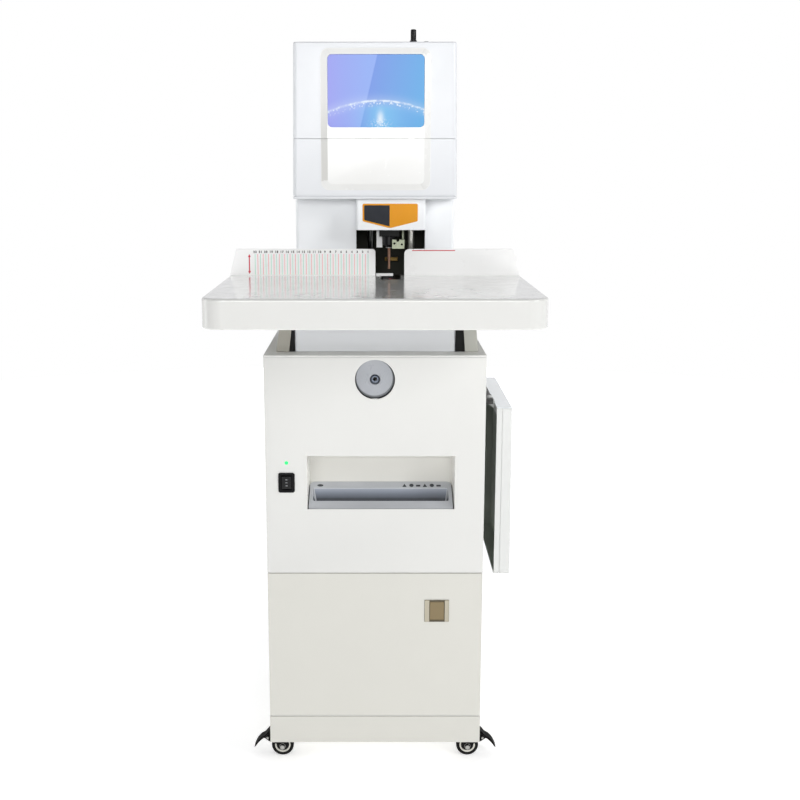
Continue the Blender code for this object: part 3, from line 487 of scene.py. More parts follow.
def display_finish():
    """A lit touch panel: two tones of blue split by a slanting edge, a thin arc and a glow."""
    f = Finish("display_glass", 0.10, specular=0.2)
    f.base(f.ramp(f.noise(40.0, 2.0), [(0.3, linear((8, 10, 26))), (0.7, linear((12, 14, 32)))]))
    split = f.node("ShaderNodeSeparateXYZ")
    f.link(f.coord, split.inputs[0])
    u = f.spread(split.outputs["X"], 0.0, 1.0, -0.0836, 0.0871)
    v = f.spread(split.outputs["Z"], 0.0, 1.0, 1.1463, 1.2708)

    def blend(factor, one, two):
        mix = f.node("ShaderNodeMix", data_type="RGBA")
        f.link(factor, mix.inputs["Factor"])
        for value, at in ((one, 6), (two, 7)):
            if isinstance(value, tuple):
                mix.inputs[at].default_value = value
            else:
                f.link(value, mix.inputs[at])
        return mix.outputs[2]

    def hill(value, sharpness):
        return f.math("POWER", 2.718, f.math("MULTIPLY", f.math("MULTIPLY", value, value), -sharpness))

    left = f.ramp(u, [(0.0, linear((146, 152, 240))), (0.18, linear((140, 160, 242))), (0.42, linear((134, 168, 244)))])
    right = f.ramp(f.math("ADD", u, f.math("MULTIPLY", v, -0.10)), [(0.36, linear((97, 140, 230))), (0.60, linear((88, 152, 230))), (0.95, linear((66, 166, 230)))])
    edge = f.math("SUBTRACT", u, f.math("ADD", f.math("MULTIPLY", v, 0.176), 0.337))
    sky = blend(f.spread(edge, 0.0, 1.0, -0.006, 0.006), left, right)
    # a thin bright arc, uneven along its length, and pale flecks just under it
    du = f.math("SUBTRACT", u, 0.53)
    off = f.math("SUBTRACT", v, f.math("SUBTRACT", 0.366, f.math("MULTIPLY", f.math("MULTIPLY", du, du), 0.55)))
    uneven = f.spread(f.noise(90.0, 3.0), 0.25, 1.0, 0.42, 0.60)
    line = f.math("MULTIPLY", hill(off, 5200.0), uneven)
    flecks = f.spread(f.noise(260.0, 4.0), 0.0, 0.9, 0.56, 0.66)
    flecks = f.math("MULTIPLY", flecks, hill(f.math("ADD", off, 0.035), 900.0))
    halo = f.math("MULTIPLY", hill(off, 160.0), 0.16)
    water = f.math("MULTIPLY", f.spread(off, 1.0, 0.0, -0.10, 0.0), hill(f.math("SUBTRACT", u, 0.56), 22.0))
    pool = blend(f.math("MULTIPLY", water, 0.55), sky, linear((104, 206, 244)))
    spot_v = f.math("SUBTRACT", v, 0.13)
    spot = f.math("MULTIPLY", hill(f.math("SUBTRACT", u, 0.545), 900.0), hill(spot_v, 120.0))
    ripple = f.math("MULTIPLY", f.spread(f.noise(420.0, 3.0), 0.0, 0.8, 0.50, 0.62), hill(f.math("SUBTRACT", u, 0.545), 160.0))
    ripple = f.math("MULTIPLY", ripple, hill(f.math("SUBTRACT", v, 0.05), 300.0))
    white = f.math("ADD", f.math("ADD", line, flecks), f.math("ADD", halo, f.math("ADD", f.math("MULTIPLY", spot, 0.85), ripple)))
    white = f.math("MINIMUM", white, 0.94)
    f.link(blend(white, pool, linear((232, 245, 255))), f.shader.inputs["Emission Color"])
    f.set("Emission Strength", 0.86)
    return f.mat


DISPLAY = display_finish()

# ---------------------------------------------------------------- cabinet
# the plinth and the door take the painted-shade copy of the cabinet paint
refined("cabinet_base", CABINET_LOW_SHADE, 0.6)
refined("cabinet_side_left", CABINET, 0.5)
refined("cabinet_side_right", CABINET, 0.5)
refined("cabinet_top", CABINET, 0.5)
door_pan = box_bm((-HALF + 0.3, HALF - 0.3), (FRONT, FRONT + 18), (104.7, 374.6))
piece(
    "door_panel_skin", door_pan, CABINET_LOW_SHADE, "door", 0.8, 4, replaces=("door_panel",),
    cuts=(box_bm((-HALF + 1.8, HALF - 1.8), (FRONT + 1.5, FRONT + 30), (106.2, 373.1)),),
    holes=(box_bm((89.2, 129.6), (FRONT - 5, FRONT + 5), (286.1, 324.2)), rod_bm((-181, FRONT + 9), "Z", 2.8, 100, 380, 24)),
)
front_pan = box_bm((-HALF, HALF), (FRONT, FRONT + 21.7), (376.6, 760.6))
piece(
    "upper_front_panel_skin", front_pan, CABINET, "cabinet", 0.7, 4, replaces=("upper_front_panel",),
    cuts=(box_bm((-HALF + 1.5, HALF - 1.5), (FRONT + 1.5, FRONT + 30), (378.1, 759.1)),),
    holes=(
        rod_bm((0, DISH_Z), "Y", 34.6, FRONT - 5, FRONT + 5, 96),
        box_bm((-118.0, 138.5), (FRONT - 5, FRONT + 5), (492.6, 587.8)),
        box_bm((-166.35, -140.55), (FRONT - 5, FRONT + 5), (524.6, 556.6)),
        rod_bm((-153.2, 575.7), "Y", 3.2, FRONT - 5, FRONT + 5, 32),
        rod_bm((-181, FRONT + 9), "Z", 2.8, 370, 382, 24),
    ),
)
# light lips behind the seams above and below the door
for name, z0, z1 in (("plinth_lip", 101.0, 104.2), ("panel_lip", 375.1, 378.0)):
    piece(name, box_bm((-188.3, 188.3), (FRONT + 1.9, FRONT + 5.6), (z0, z1)), CABINET, "cabinet", 0.3, 2)
refined("door_hinge_rod", ZINC, 0.2)

vents = []
for column in (-95.0, 5.0, 105.0):
    for row in range(9):
        z = 560.0 + row * 11.0
        vents.append(prism_bm(rounded(column - 36, column + 36, z, z + 4.2, 2.0, 4), "Y", BACK - 6, BACK + 4))
vents.append(box_bm((-150.0, -98.0), (BACK - 5, BACK + 5), (190.0, 220.0)))
piece("cabinet_back_skin", box_bm((-HALF, HALF), (BACK - 1.5, BACK), (103.0, 760.6)), CABINET, "cabinet", 0.3, 2, holes=vents, replaces=("cabinet_back",))

# ---------------------------------------------------------------- sharpener
refined("sharpener_housing", BLACK, 0.5)
# The dish: a face with fine turned rings, and a rim that falls away widest at the lower right. The rim is painted
# darker as painted shade.
dish_bm = bmesh.new()
rings = [(0.0, 0.0, 8.4, 22.0), (0.0, 0.0, 8.4, 3.4), (0.0, 0.0, 8.8, 2.2), (0.0, 0.0, 9.8, 1.7)]
for step in range(33):
    t = step / 32
    rings.append((-0.9 * t, 2.9 * t, 10.6 + 20.4 * t, 1.5 + 1.6 * t * t + 0.13 * math.sin(t * 32 * math.pi / 2.0)))
for t in (15, 30, 45, 60, 75, 90):
    k = math.radians(t)
    rings.append((-0.9 + 0.9 * math.sin(k), 2.9 - 2.9 * math.sin(k), 31.0 + 3.2 * math.sin(k), 3.1 + 8.0 * (1 - math.cos(k))))
rings.append((0.0, 0.0, 34.2, 22.0))
dish_loops = [[dish_bm.verts.new((a, FRONT + y, b)) for a, b in circle(dx, DISH_Z + dz, r, 120)] for dx, dz, r, y in rings]
for one, two in zip(dish_loops, dish_loops[1:] + dish_loops[:1]):
    for i in range(120):
        j = (i + 1) % 120
        dish_bm.faces.new((one[i], one[j], two[j], two[i]))
dish = piece("sharpener_dish_skin", dish_bm, DISH, "cabinet", sharp=50, replaces=("sharpener_dish",))
dish.data.materials.append(DISH_RIM_SHADE)
piece("sharpener_dish_seal", lathe_bm([(34.1, FRONT + 0.5), (34.8, FRONT + 0.2), (34.8, FRONT + 3.0), (34.1, FRONT + 3.0)], (0, DISH_Z), "Y", 96, True), CABINET, "cabinet", sharp=50)
# faces outside the flat face take the painted shade of the rim
for polygon in dish.data.polygons:
    c = polygon.center / MM
    if math.hypot(c.x + 0.9, c.z - DISH_Z - 2.9) > 31.05:
        polygon.material_index = 1
ring = [(7.1, FRONT + 14), (7.1, FRONT + 2.4), (6.6, FRONT + 1.6), (5.8, FRONT + 1.8), (5.5, FRONT + 2.8), (5.5, FRONT + 14)]
piece("sharpener_collar_ring", lathe_bm(ring, (0, DISH_Z), "Y", 64, True), SLATE, "cabinet", sharp=50)
funnel = [(5.4, FRONT + 14), (5.4, FRONT + 3.4), (4.6, FRONT + 3.0), (4.0, FRONT + 4.2), (3.7, FRONT + 7.0), (3.6, FRONT + 13.0), (3.9, FRONT + 14)]
piece("sharpener_guide", lathe_bm(funnel, (0, DISH_Z), "Y", 64, True), FUNNEL, "cabinet", sharp=40)
refined("sharpener_cutter", PLATED, 0.3)

# ---------------------------------------------------------------- shredder
liner = refined("shredder_recess_liner", RECESS, 0.6)
liner.data.materials.append(RECESS_SIDE_LIT)
# the side walls, picked by the way they face, take the painted-light copy
for polygon in liner.data.polygons:
    if abs(polygon.normal.x) > 0.6:
        polygon.material_index = 1


def slope_z(y):
    return 493.9 + (y - (FRONT + 3)) * 0.4232


tilt = math.atan(0.4232)
# Faceplate, drawn in its own plane: s runs up the slope, n stands out from it.
face_origin = Vector((10.25, FRONT + 2, slope_z(FRONT + 2)))
face_axes = Matrix(((1, 0, 0), (0, math.cos(tilt), -math.sin(tilt)), (0, math.sin(tilt), math.cos(tilt))))
face_length = 69.5 / math.cos(tilt)


def on_face(bm):
    """Move a mesh from the faceplate's own plane to its place in the recess."""
    bmesh.ops.transform(bm, matrix=Matrix.Translation(face_origin) @ face_axes.to_4x4(), verts=bm.verts)
    return bm


mouth_low, mouth_high = 18.8 / math.cos(tilt), 52.4 / math.cos(tilt)
plate = on_face(prism_bm(rounded(-126.3, 126.3, 0.4, face_length, (2, 2, 9, 9), 8), "Z", -3.6, 0.0))
# painted shade: black strips under the plate's long edges stand in for the shadow in the gap to the recess walls
shade_strip = on_face(merged(prism_bm([(-127.5, 0.4), (-125.8, 0.4), (-125.8, face_length - 8), (-127.5, face_length - 8)], "Z", -3.4, -1.4), prism_bm([(125.8, 0.4), (127.5, 0.4), (127.5, face_length - 8), (125.8, face_length - 8)], "Z", -3.4, -1.4)))
piece("faceplate_shade_strip", shade_strip, BLACK, "cabinet")
block = prism_bm([(FRONT + 26, 476), (FRONT + 43, 476), (FRONT + 56, slope_z(FRONT + 56) - 2), (FRONT + 13, slope_z(FRONT + 13) - 2)], "X", -112.5, 132.5)
trough = on_face(loft_bm([
    (rounded(-115.2, 115.2, mouth_low + 12.0, mouth_high - 16.6, 2.0, 5), -16.0),
    (rounded(-119.8, 119.8, mouth_low + 0.8, mouth_high - 0.8, 4.0, 5), -1.2),
    (rounded(-120.4, 120.4, mouth_low - 0.2, mouth_high + 0.2, 4.6, 5), 0.6),
    (rounded(-120.4, 120.4, mouth_low - 0.2, mouth_high + 0.2, 4.6, 5), 5.0),
]))
slit = box_bm((-109.5, 129.5), (FRONT + 30.5, FRONT + 38.5), (468, 506))
faceplate = piece("shredder_faceplate_skin", plate, SILVER, "cabinet", 0.8, 3, cuts=(trough, slit), joins=(block,), replaces=("shredder_faceplate",))
faceplate.data.materials.append(TROUGH_SHADE)
into_plane = (Matrix.Translation(face_origin) @ face_axes.to_4x4()).inverted()
# the trough's floor and long walls take the painted shade; its end walls stay silver
for polygon in faceplate.data.polygons:
    at = into_plane @ (polygon.center / MM)
    if at.z < -0.9 and abs(at.x) < 121.5 and mouth_low - 1.5 < at.y + 0.2 * at.z < mouth_high + 1.5:
        polygon.material_index = 0 if abs(polygon.normal.x) > 0.5 else 1
# thin raised lip round the mouth
lip_out = rounded(-122.4, 122.4, mouth_low - 2.2, mouth_high + 2.2, 6.4, 6)
lip_in = rounded(-120.7, 120.7, mouth_low - 0.5, mouth_high + 0.5, 4.9, 6)
lip = bmesh.new()
rings = []
for outline, n in ((lip_out, -0.3), (lip_out, 0.5), (lip_in, 0.5), (lip_in, -0.3)):
    rings.append([lip.verts.new((x, s, n)) for x, s in outline])
for one, two in zip(rings, rings[1:] + rings[:1]):
    for i in range(len(one)):
        j = (i + 1) % len(one)
        lip.faces.new((one[i], one[j], two[j], two[i]))
piece("shredder_mouth_lip", on_face(lip), SILVER, "cabinet", 0.25, 2)
# small plain marks on the upper strip
high = mouth_high + 7.4
marks = [prism_bm([(x, high + (y - high) * 0.62) for x, y in circle(-108.0, high, 5.4, 24)], "Z", -0.2, 0.14)]
for k, x in enumerate((42.5, 55.0, 67.0, 79.0, 91.5, 103.5)):
    if k % 3 == 0:
        marks.append(prism_bm([(x - 3.9, high - 4.6), (x + 3.9, high - 4.6), (x, high + 4.6)], "Z", -0.2, 0.14))
    elif k % 3 == 1:
        marks.append(prism_bm([(x + 3.9 * math.cos(t * math.pi / 10), high + 4.6 * math.sin(t * math.pi / 10)) for t in range(20)], "Z", -0.2, 0.14))
    else:
        marks.append(prism_bm([(x - 3.9, high - 3.4), (x + 3.9, high - 3.4), (x + 3.9, high + 1.6), (x - 3.9, high + 1.6)], "Z", -0.2, 0.14))
piece("faceplate_marks", on_face(merged(*marks)), INK_GREY, "cabinet")

dress("shredder_frame", GREYSHEET)
dress("cutter_shaft_front", STEEL)
dress("cutter_shaft_rear", STEEL)
dress("shredder_motor", ZINC)
refined("waste_bin", BIN, 0.8)

# ---------------------------------------------------------------- switch and lamp
refined("switch_housing", BLACK, 0.6)
refined("switch_rocker", BLACK_GLOSS, 0.5)
marks = []
for z in (5.6, 0.0, -5.6):
    y = FRONT - 1.2 - (2.7 * z / 11.6 if z > 0 else 0.0)
    marks.append(box_bm((-155.2, -151.7), (y - 0.12, y + 0.5), (540.6 + z - 0.6, 540.6 + z + 0.6)))
piece("switch_marks", merged(*marks), MARK, "power_rocker")
lamp = [(0, FRONT - 1.2)] + [(2.9 * math.sin(math.radians(a)), FRONT + 0.3 - 1.5 * math.cos(math.radians(a))) for a in range(15, 91, 15)] + [(2.9, FRONT + 8), (0, FRONT + 8)]
piece("status_led_lens", lathe_bm(lamp, (-153.2, 575.7), "Y", 32), LED, "cabinet", sharp=50, replaces=("status_led",))
refined("mains_inlet", BLACK, 0.4)
pins = merged(*[box_bm((x - 1.0, x + 1.0), (BACK - 20.5, BACK - 7), (z - 2, z + 2)) for x, z in ((-131, 202.5), (-124, 207.5), (-117, 202.5))])
piece("inlet_pins", pins, ZINC, "cabinet", 0.3, 2)

# ---------------------------------------------------------------- latch
refined("latch_housing", BRONZE_DARK, 0.5)
refined("latch_paddle", BRONZE, 0.6)
for side, x0, x1 in (("left", 88.1, 96.4), ("right", 123.6, 130.7)):
    piece(f"latch_rail_{side}", box_bm((x0, x1), (FRONT - 1.7, FRONT - 0.9), (285.1, 325.2)), BRONZE_LIGHT, "door", 0.35, 3)

# ---------------------------------------------------------------- work table
def table_outline(inset):
    r = 34.0 - inset
    return rounded(-TABLE_HALF + inset, TABLE_HALF - inset, TABLE_FRONT + inset, TABLE_REAR - min(inset, 3.0), (r, r, 4.0, 4.0), 16)


layers = []
for i in range(9):
    t = math.radians(90 * i / 8)
    layers.append((table_outline(1.6 * (1 - math.sin(t))), TABLE_LOW + 1.6 * (1 - math.cos(t))))
for i in range(9):
    t = math.radians(90 * i / 8)
    layers.append((table_outline(4.5 * (1 - math.cos(t))), TABLE_TOP - 4.5 + 4.5 * math.sin(t)))
piece(
    "table_top_skin", loft_bm(layers), TABLE, "cabinet", sharp=35, flat=True, replaces=("table_top",),
    cuts=(
        prism_bm(rounded(-TABLE_HALF + 4, TABLE_HALF - 4, TABLE_FRONT + 4, TABLE_REAR - 4, (30.0, 30.0, 2.0, 2.0), 8), "Z", TABLE_LOW + 6, TABLE_TOP - 4),
        prism_bm(rounded(-TABLE_HALF + 14, TABLE_HALF - 14, TABLE_FRONT + 14, TABLE_REAR - 4, (22.0, 22.0, 2.0, 2.0), 8), "Z", TABLE_LOW - 3, TABLE_LOW + 8),
        box_bm((8.5, 47.0), (-3.5, TABLE_REAR + 5), (TABLE_TOP - 12, TABLE_TOP + 5)),
        box_bm((1.5, 9.0), (70.0, TABLE_REAR + 5), (TABLE_TOP - 12, TABLE_TOP + 5)),
        box_bm((-40, 98), (TABLE_REAR - 10, TABLE_REAR + 5), (TABLE_LOW - 3, TABLE_TOP - 7.5)),
    ),
)
refined("fence_left", FENCE, 0.7)
refined("fence_right", FENCE, 0.7)
BRACKET_LOW, BRACKET_HIGH = 764.2, 830.1
for side, sign, outline in (
    ("left", 1, [(-171.0, BRACKET_LOW), (-148.2, BRACKET_LOW), (-140.2, BRACKET_HIGH), (-161.0, BRACKET_HIGH)]),
    ("right", -1, [(155.2, BRACKET_LOW), (178.3, BRACKET_LOW), (172.4, BRACKET_HIGH), (150.4, BRACKET_HIGH)]),
):
    # the left bracket takes the painted-shade copy, the right one the painted-light copy
    bracket = piece(f"table_bracket_{side}_skin", prism_bm(outline, "Y", FRONT + 38.0, 58.0), BRACKET_LEFT_SHADE if sign > 0 else BRACKET_RIGHT_LIT, "cabinet", 0.8, 3, replaces=(f"table_bracket_{side}",))
    bracket.data.materials.append(CAST_AND_SHADE)
    # the bracket's inner face, towards the housing, is painted black as shade
    for polygon in bracket.data.polygons:
        if polygon.normal.x * sign > 0.6:
            polygon.material_index = 1
    # black web closing the gap between the bracket and the base housing, a sheet that stands in for the shade in that
    # gap
    low, high = outline[1 if sign > 0 else 0][0], outline[2 if sign > 0 else 3][0]
    web = [(-sign * 138.9, BRACKET_LOW), (low + sign * 0.4, BRACKET_LOW), (high + sign * 0.4, BRACKET_HIGH), (-sign * 138.9, BRACKET_HIGH)]
    piece(f"bracket_shade_web_{side}", prism_bm(web if sign < 0 else web[::-1], "Y", FRONT + 41.0, FRONT + 43.0), CAST_AND_SHADE, "cabinet", 0.2, 2)

# scale on the left fence: a line each 5 mm, a number each 10 mm
FACE = 77.0


def digit_bm(digit, x, z):
    """One thin raised digit standing on the fence's face, its middle at x and its foot at z."""
    size, heavy = (5.6, 0.28) if digit == "6" else (5.4, 0.30)
    text = bpy.data.curves.new("digit", "FONT")
    text.body, text.size, text.offset, text.extrude, text.align_x = digit, size, heavy, 0.12, "CENTER"
    holder = bpy.data.objects.new("digit", text)
    bpy.context.scene.collection.objects.link(holder)
    bpy.context.view_layer.update()
    mesh = bpy.data.meshes.new_from_object(holder.evaluated_get(bpy.context.evaluated_depsgraph_get()))
    bm = bmesh.new()
    bm.from_mesh(mesh)
    bmesh.ops.remove_doubles(bm, verts=bm.verts, dist=0.004)
    k = 5.4 / size
    for vert in bm.verts:
        vert.co = Vector((x + vert.co.x * k * 0.92, FACE - 0.02 - vert.co.z, z + vert.co.y * k))
    bmesh.ops.recalc_face_normals(bm, faces=bm.faces)
    bpy.data.meshes.remove(mesh)
    bpy.data.objects.remove(holder, do_unlink=True)
    bpy.data.curves.remove(text)
    return bm


green, pink, digits = [], [], []
for n in range(22):
    x = -13.0 - 10.0 * n
    green.append(box_bm((x - 0.55, x + 0.55), (FACE - 0.12, FACE + 0.4), (880.2, 918.6)))
    if n < 21:
        pink.append(box_bm((x - 5.55, x - 4.45), (FACE - 0.12, FACE + 0.4), (880.2, 918.6)))
    label = str(n + 1)
    for i, digit in enumerate(label):
        digits.append(digit_bm(digit, x + (i - 0.5 * (len(label) - 1)) * 3.45, 920.8))
piece("scale_green_lines", merged(*green), INK_GREEN, "cabinet")
piece("scale_pink_lines", merged(*pink), INK_PINK, "cabinet")
piece("scale_numbers", merged(*digits), INK_BLACK, "cabinet")
arrow_up = prism_bm([(-236.4, 913.2), (-231.2, 913.2), (-233.8, 918.6)], "Y", FACE - 0.15, FACE + 0.4)
arrow_down = prism_bm([(-236.4, 887.0), (-231.2, 887.0), (-233.8, 881.6)], "Y", FACE - 0.15, FACE + 0.4)
piece("scale_end_mark", merged(box_bm((-234.8, -232.8), (FACE - 0.15, FACE + 0.4), (886.8, 913.4)), arrow_up, arrow_down), INK_RED, "cabinet")
piece("fence_red_line", box_bm((69, 149), (FACE - 0.15, FACE + 0.4), (924.2, 925.8)), INK_RED, "cabinet")
card = prism_bm(rounded(167.0, 248.5, 882.0, 916.6, 2.0, 6), "Y", FACE - 0.35, FACE + 0.4)
piece("fence_blank_card", card, CARD, "cabinet", 0.12, 2)

# beads that close the fences' feet against the table
piece("fence_bead_left", box_bm((-268.0, 0.4), (FACE + 0.1, FACE + 4), (878.9, 880.0)), FENCE, "cabinet")
piece("fence_bead_right", box_bm((54.8, 268.0), (FACE + 0.1, FACE + 4), (878.9, 880.0)), FENCE, "cabinet")

# ---------------------------------------------------------------- body covers
refined("base_housing", COVER, 0.8)
# the column cover and throat guard take the painted-light copy of the cover paint
refined("column_cover", COLUMN_LIT, 0.8)
refined("rear_cover", COVER, 0.8)
refined("throat_guard", COLUMN_LIT, 0.8)


def head_outline(z, inset=0.0):
    half = 147.5 - 3.6 * (z - HEAD_LOW) / (HEAD_TOP - HEAD_LOW) - inset
    r = max(8.0 - inset, 1.5)
    return rounded(-half, half, HEAD_FRONT + inset, HEAD_REAR - inset, (r, r, r + 4, r + 4), 10)


SEAM_LOW, SEAM_HIGH = HEAD_SEAM - 0.25, HEAD_SEAM + 0.25
lower_layers = [(head_outline(HEAD_LOW, 0.9), HEAD_LOW), (head_outline(HEAD_LOW + 0.9), HEAD_LOW + 0.9)]
# a fine groove just above the lower edge, all the way round
lower_layers += [(head_outline(HEAD_LOW + 4.0), HEAD_LOW + 4.0), (head_outline(HEAD_LOW + 4.1, 2.9), HEAD_LOW + 4.1), (head_outline(HEAD_LOW + 5.8, 2.9), HEAD_LOW + 5.8), (head_outline(HEAD_LOW + 5.9), HEAD_LOW + 5.9)]
lower_layers += [(head_outline(SEAM_LOW - 0.5), SEAM_LOW - 0.5), (head_outline(SEAM_LOW, 0.5), SEAM_LOW)]
piece(
    "head_lower_skin", loft_bm(lower_layers), COVER, "cabinet", sharp=35, replaces=("head_lower_cover",),
    cuts=(
        loft_bm([(head_outline(HEAD_LOW + 3, 3.4), HEAD_LOW + 7.0), (head_outline(SEAM_LOW, 3.4), SEAM_LOW + 5)]),
        box_bm((-42, 100), (44, 289), (HEAD_LOW - 5, HEAD_LOW + 12)),
    ),
)
upper_layers = [(head_outline(SEAM_HIGH, 0.5), SEAM_HIGH), (head_outline(SEAM_HIGH + 0.5), SEAM_HIGH + 0.5), (head_outline(HEAD_TOP - 3.0), HEAD_TOP - 3.0)]
for i in range(1, 7):
    t = math.radians(15 * i)
    upper_layers.append((head_outline(HEAD_TOP, 3.0 * (1 - math.cos(t))), HEAD_TOP - 3.0 + 3.0 * math.sin(t)))
head_vents = []
for side in (-1, 1):
    for row in range(7):
        z = 1196.0 + row * 9.0
        head_vents.append(prism_bm(rounded(side * 60 - 26, side * 60 + 26, z, z + 3.6, 1.7, 4), "Y", HEAD_REAR - 8, HEAD_REAR + 4))
piece(
    "head_upper_skin", loft_bm(upper_layers), COVER, "cabinet", sharp=35, replaces=("head_upper_cover",),
    cuts=[
        loft_bm([(head_outline(SEAM_HIGH, 2.5), SEAM_HIGH - 5), (head_outline(HEAD_TOP, 5.5), HEAD_TOP - 3.0)]),
        box_bm((-80, 83.5), (HEAD_FRONT - 5, HEAD_FRONT + 8), (1150, 1267)),
    ] + head_vents,
)
cap = loft_bm([
    (rounded(86.8, 95.3, 49.5, 58.0, 1.6, 4), HEAD_TOP + 0.0), (rounded(86.8, 95.3, 49.5, 58.0, 1.6, 4), HEAD_TOP + 2.4),
    (rounded(87.6, 94.5, 50.3, 57.2, 1.2, 4), HEAD_TOP + 3.2), (rounded(88.4, 93.7, 51.1, 56.4, 0.8, 4), HEAD_TOP + 3.4),
])
piece("head_top_cap", cap, moulded("cap_grey", (150, 152, 154), 0.42), "cabinet", sharp=50)

# One raised panel with a broad sloping border, split at the head's seam.
def raised_panel():
    bm = bmesh.new()
    loops = []
    steps = 20
    for i in range(steps + 1):
        t = i / steps
        # a straight slope, eased over its first and last tenths
        rise = (t * t * 5.0 if t < 0.1 else t - 0.05 if t < 0.9 else 0.9 - 5.0 * (1.0 - t) ** 2) / 0.9
        y = HEAD_FRONT - 0.9 - 4.6 * rise
        r = 15.0 - 6.0 * t
        loops.append([bm.verts.new((a, y, b)) for a, b in rounded(-96.4 + 12.9 * t, 98.9 - 11.7 * t, 1036.6 + 11.4 * t, 1282.0 - 11.4 * t, r, 14)])
    rim = [bm.verts.new((v.co.x, HEAD_FRONT - 0.02, v.co.z)) for v in loops[0]]
    loops.insert(0, rim)
    bm.faces.new(loops[0])
    bm.faces.new(list(reversed(loops[-1])))
    for one, two in zip(loops, loops[1:]):
        for i in range(len(one)):
            j = (i + 1) % len(one)
            bm.faces.new((one[i], one[j], two[j], two[i]))
    return bm


bezel_parts = [piece("screen_bezel_skin", raised_panel(), BEZEL, "cabinet", sharp=60, replaces=("screen_bezel",), holes=(
    box_bm((-120, 120), (0, 40), (1000, 1126.95)),
    prism_bm(rounded(-83.9, 87.4, 1146.0, 1271.1, 8, 10), "Y", HEAD_FRONT - 8, HEAD_FRONT + 3),
))]
bezel_parts.append(piece("head_lower_panel", raised_panel(), BEZEL, "cabinet", sharp=60, holes=(box_bm((-120, 120), (0, 40), (1126.45, 1300)),)))
# sloping border faces take painted shade by the way they face: right-facing ones the border shade, left-facing ones
# above the foot the left border shade
for part in bezel_parts:
    part.data.materials.append(BEZEL_BORDER_SHADE)
    part.data.materials.append(BEZEL_BORDER_LEFT_SHADE)
    for polygon in part.data.polygons:
        at = polygon.center / MM
        if -0.985 < polygon.normal.y < -0.3 and abs(polygon.normal.x) > 0.1 and not (-85 < at.x < 88.5 and 1145 < at.z < 1272):
            polygon.material_index = 1 if polygon.normal.x > 0 else 2 if at.z > 1054 else 0
screen = piece(
    "touchscreen_skin", prism_bm(rounded(-83.5, 87.0, 1146.4, 1270.7, 7.6, 12), "Y", HEAD_FRONT - 2.4, HEAD_FRONT - 0.4), DISPLAY, "cabinet", 0.25, 2,
    joins=(box_bm((-78.5, 82), (HEAD_FRONT - 1.4, HEAD_FRONT + 18), (1151.5, 1265.5)),), replaces=("touchscreen",),
)
screen.data.materials.append(BLACK)
for polygon in screen.data.polygons:
    if polygon.normal.y > -0.5 and polygon.center.y / MM > HEAD_FRONT - 0.6:
        polygon.material_index = 1

# plain two-tone trim plate on the guard
GUARD_Y = 38.5
outline = arc_corner(-22.6, 1012.1, 2.5, 180, 90) + arc_corner(77.6, 1012.1, 2.5, 90, 0) + [(77.6, 981.8), (76.4, 980.4), (29.0, 968.6), (25.6, 968.6), (-21.4, 980.4), (-22.6, 981.8)]
piece("guard_plate_amber", prism_bm(outline, "Y", GUARD_Y - 0.8, GUARD_Y + 0.3), AMBER, "cabinet", 0.3, 2)
inset_plate = arc_corner(-19.6, 1009.3, 1.6, 180, 90) + [(26.6, 1009.3), (26.6, 971.4), (-18.4, 982.4), (-19.6, 983.8)]
piece("guard_plate_graphite", prism_bm(inset_plate, "Y", GUARD_Y - 1.2, GUARD_Y - 0.6), GRAPHITE, "cabinet", 0.2, 2)

# ---------------------------------------------------------------- mechanism
FRAME_DARK = painted("frame_casting", (46, 47, 38), 0.6, peel=0.5, peel_scale=420.0, specular=0.25)
FOOT_STEEL = metal("foot_steel", (132, 137, 120), 0.42, (1.0, 1.0, 0.1), 500.0, 12.0, 0.15)
BRASS_DARK = metal("dark_brass", (96, 78, 44), 0.45, None, 300.0, 8.0, 0.1)
dress("c_frame", FRAME_DARK)
piece("throat_guide_bar", box_bm((19.0, 45.0), (188.0, 199.6), (896.5, 904.5)), BRASS_DARK, "cabinet", 1.0, 3)
piece("throat_guide_boss", lathe_bm([(0, 184.5), (3.2, 184.5), (4.0, 185.3), (4.0, 188.4), (0, 188.4)], (26.0, 900.5), "Y", 32), BRASS_DARK, "cabinet", sharp=50)
# the two guide columns are one chrome: the left one is painted dark as painted shade, the right one pale as a painted
# reflection
CHROME_SHADE = metal("chrome_painted_shade", (70, 71, 70), 0.20, (0.2, 0.2, 1.0), 500.0, 4.0, 0.03)
CHROME_LIT = metal("chrome_painted_light", (238, 238, 230), 0.38, (0.2, 0.2, 1.0), 500.0, 3.0, 0.03)
for side, finish_, x in (("left", CHROME_SHADE, -8.0), ("right", CHROME_LIT, 67.5)):
    piece(f"guide_column_{side}_skin", lathe_bm([(0, 868.3), (5.4, 868.3), (6.0, 868.9), (6.0, 1149.1), (5.4, 1149.7), (0, 1149.7)], (x, 112.0), "Z", 48), finish_, "cabinet", sharp=50, replaces=(f"guide_column_{side}",))
refined("drill_carriage", CAST_AND_SHADE, 0.9)
refined("drill_spindle", BLACK_GLOSS, 0.5, sharp=50)
refined("press_foot", FOOT_STEEL, 0.3, cuts=(rod_bm((41.6, 946.0), "Y", 2.7, 40, 50, 32),))
refined("rivet_head", NYLON, 0.5)
refined("rivet_die_lower", STEEL, 0.3, sharp=50)
piece("drill_pad_plate", box_bm((14, 45), (40.3, 84.3), (868.3, 874.5)), BLACK, "cabinet", 0.6, 3, replaces=("drill_pad",))
piece("drill_pad_riser", box_bm((2.2, 33.8), (84.7, 91.1), (868.3, 877.2)), BLACK, "cabinet", 0.3, 2)
piece("drill_pad_strip", box_bm((2.0, 34.0), (84.6, 91.2), (877.0, 882.0)), NYLON, "cabinet", 0.5, 3)
piece("drill_centre_mark", rod_bm((28.0, 55.0), "Z", 2.2, 874.2, 874.8, 24), INK_RED, "cabinet")

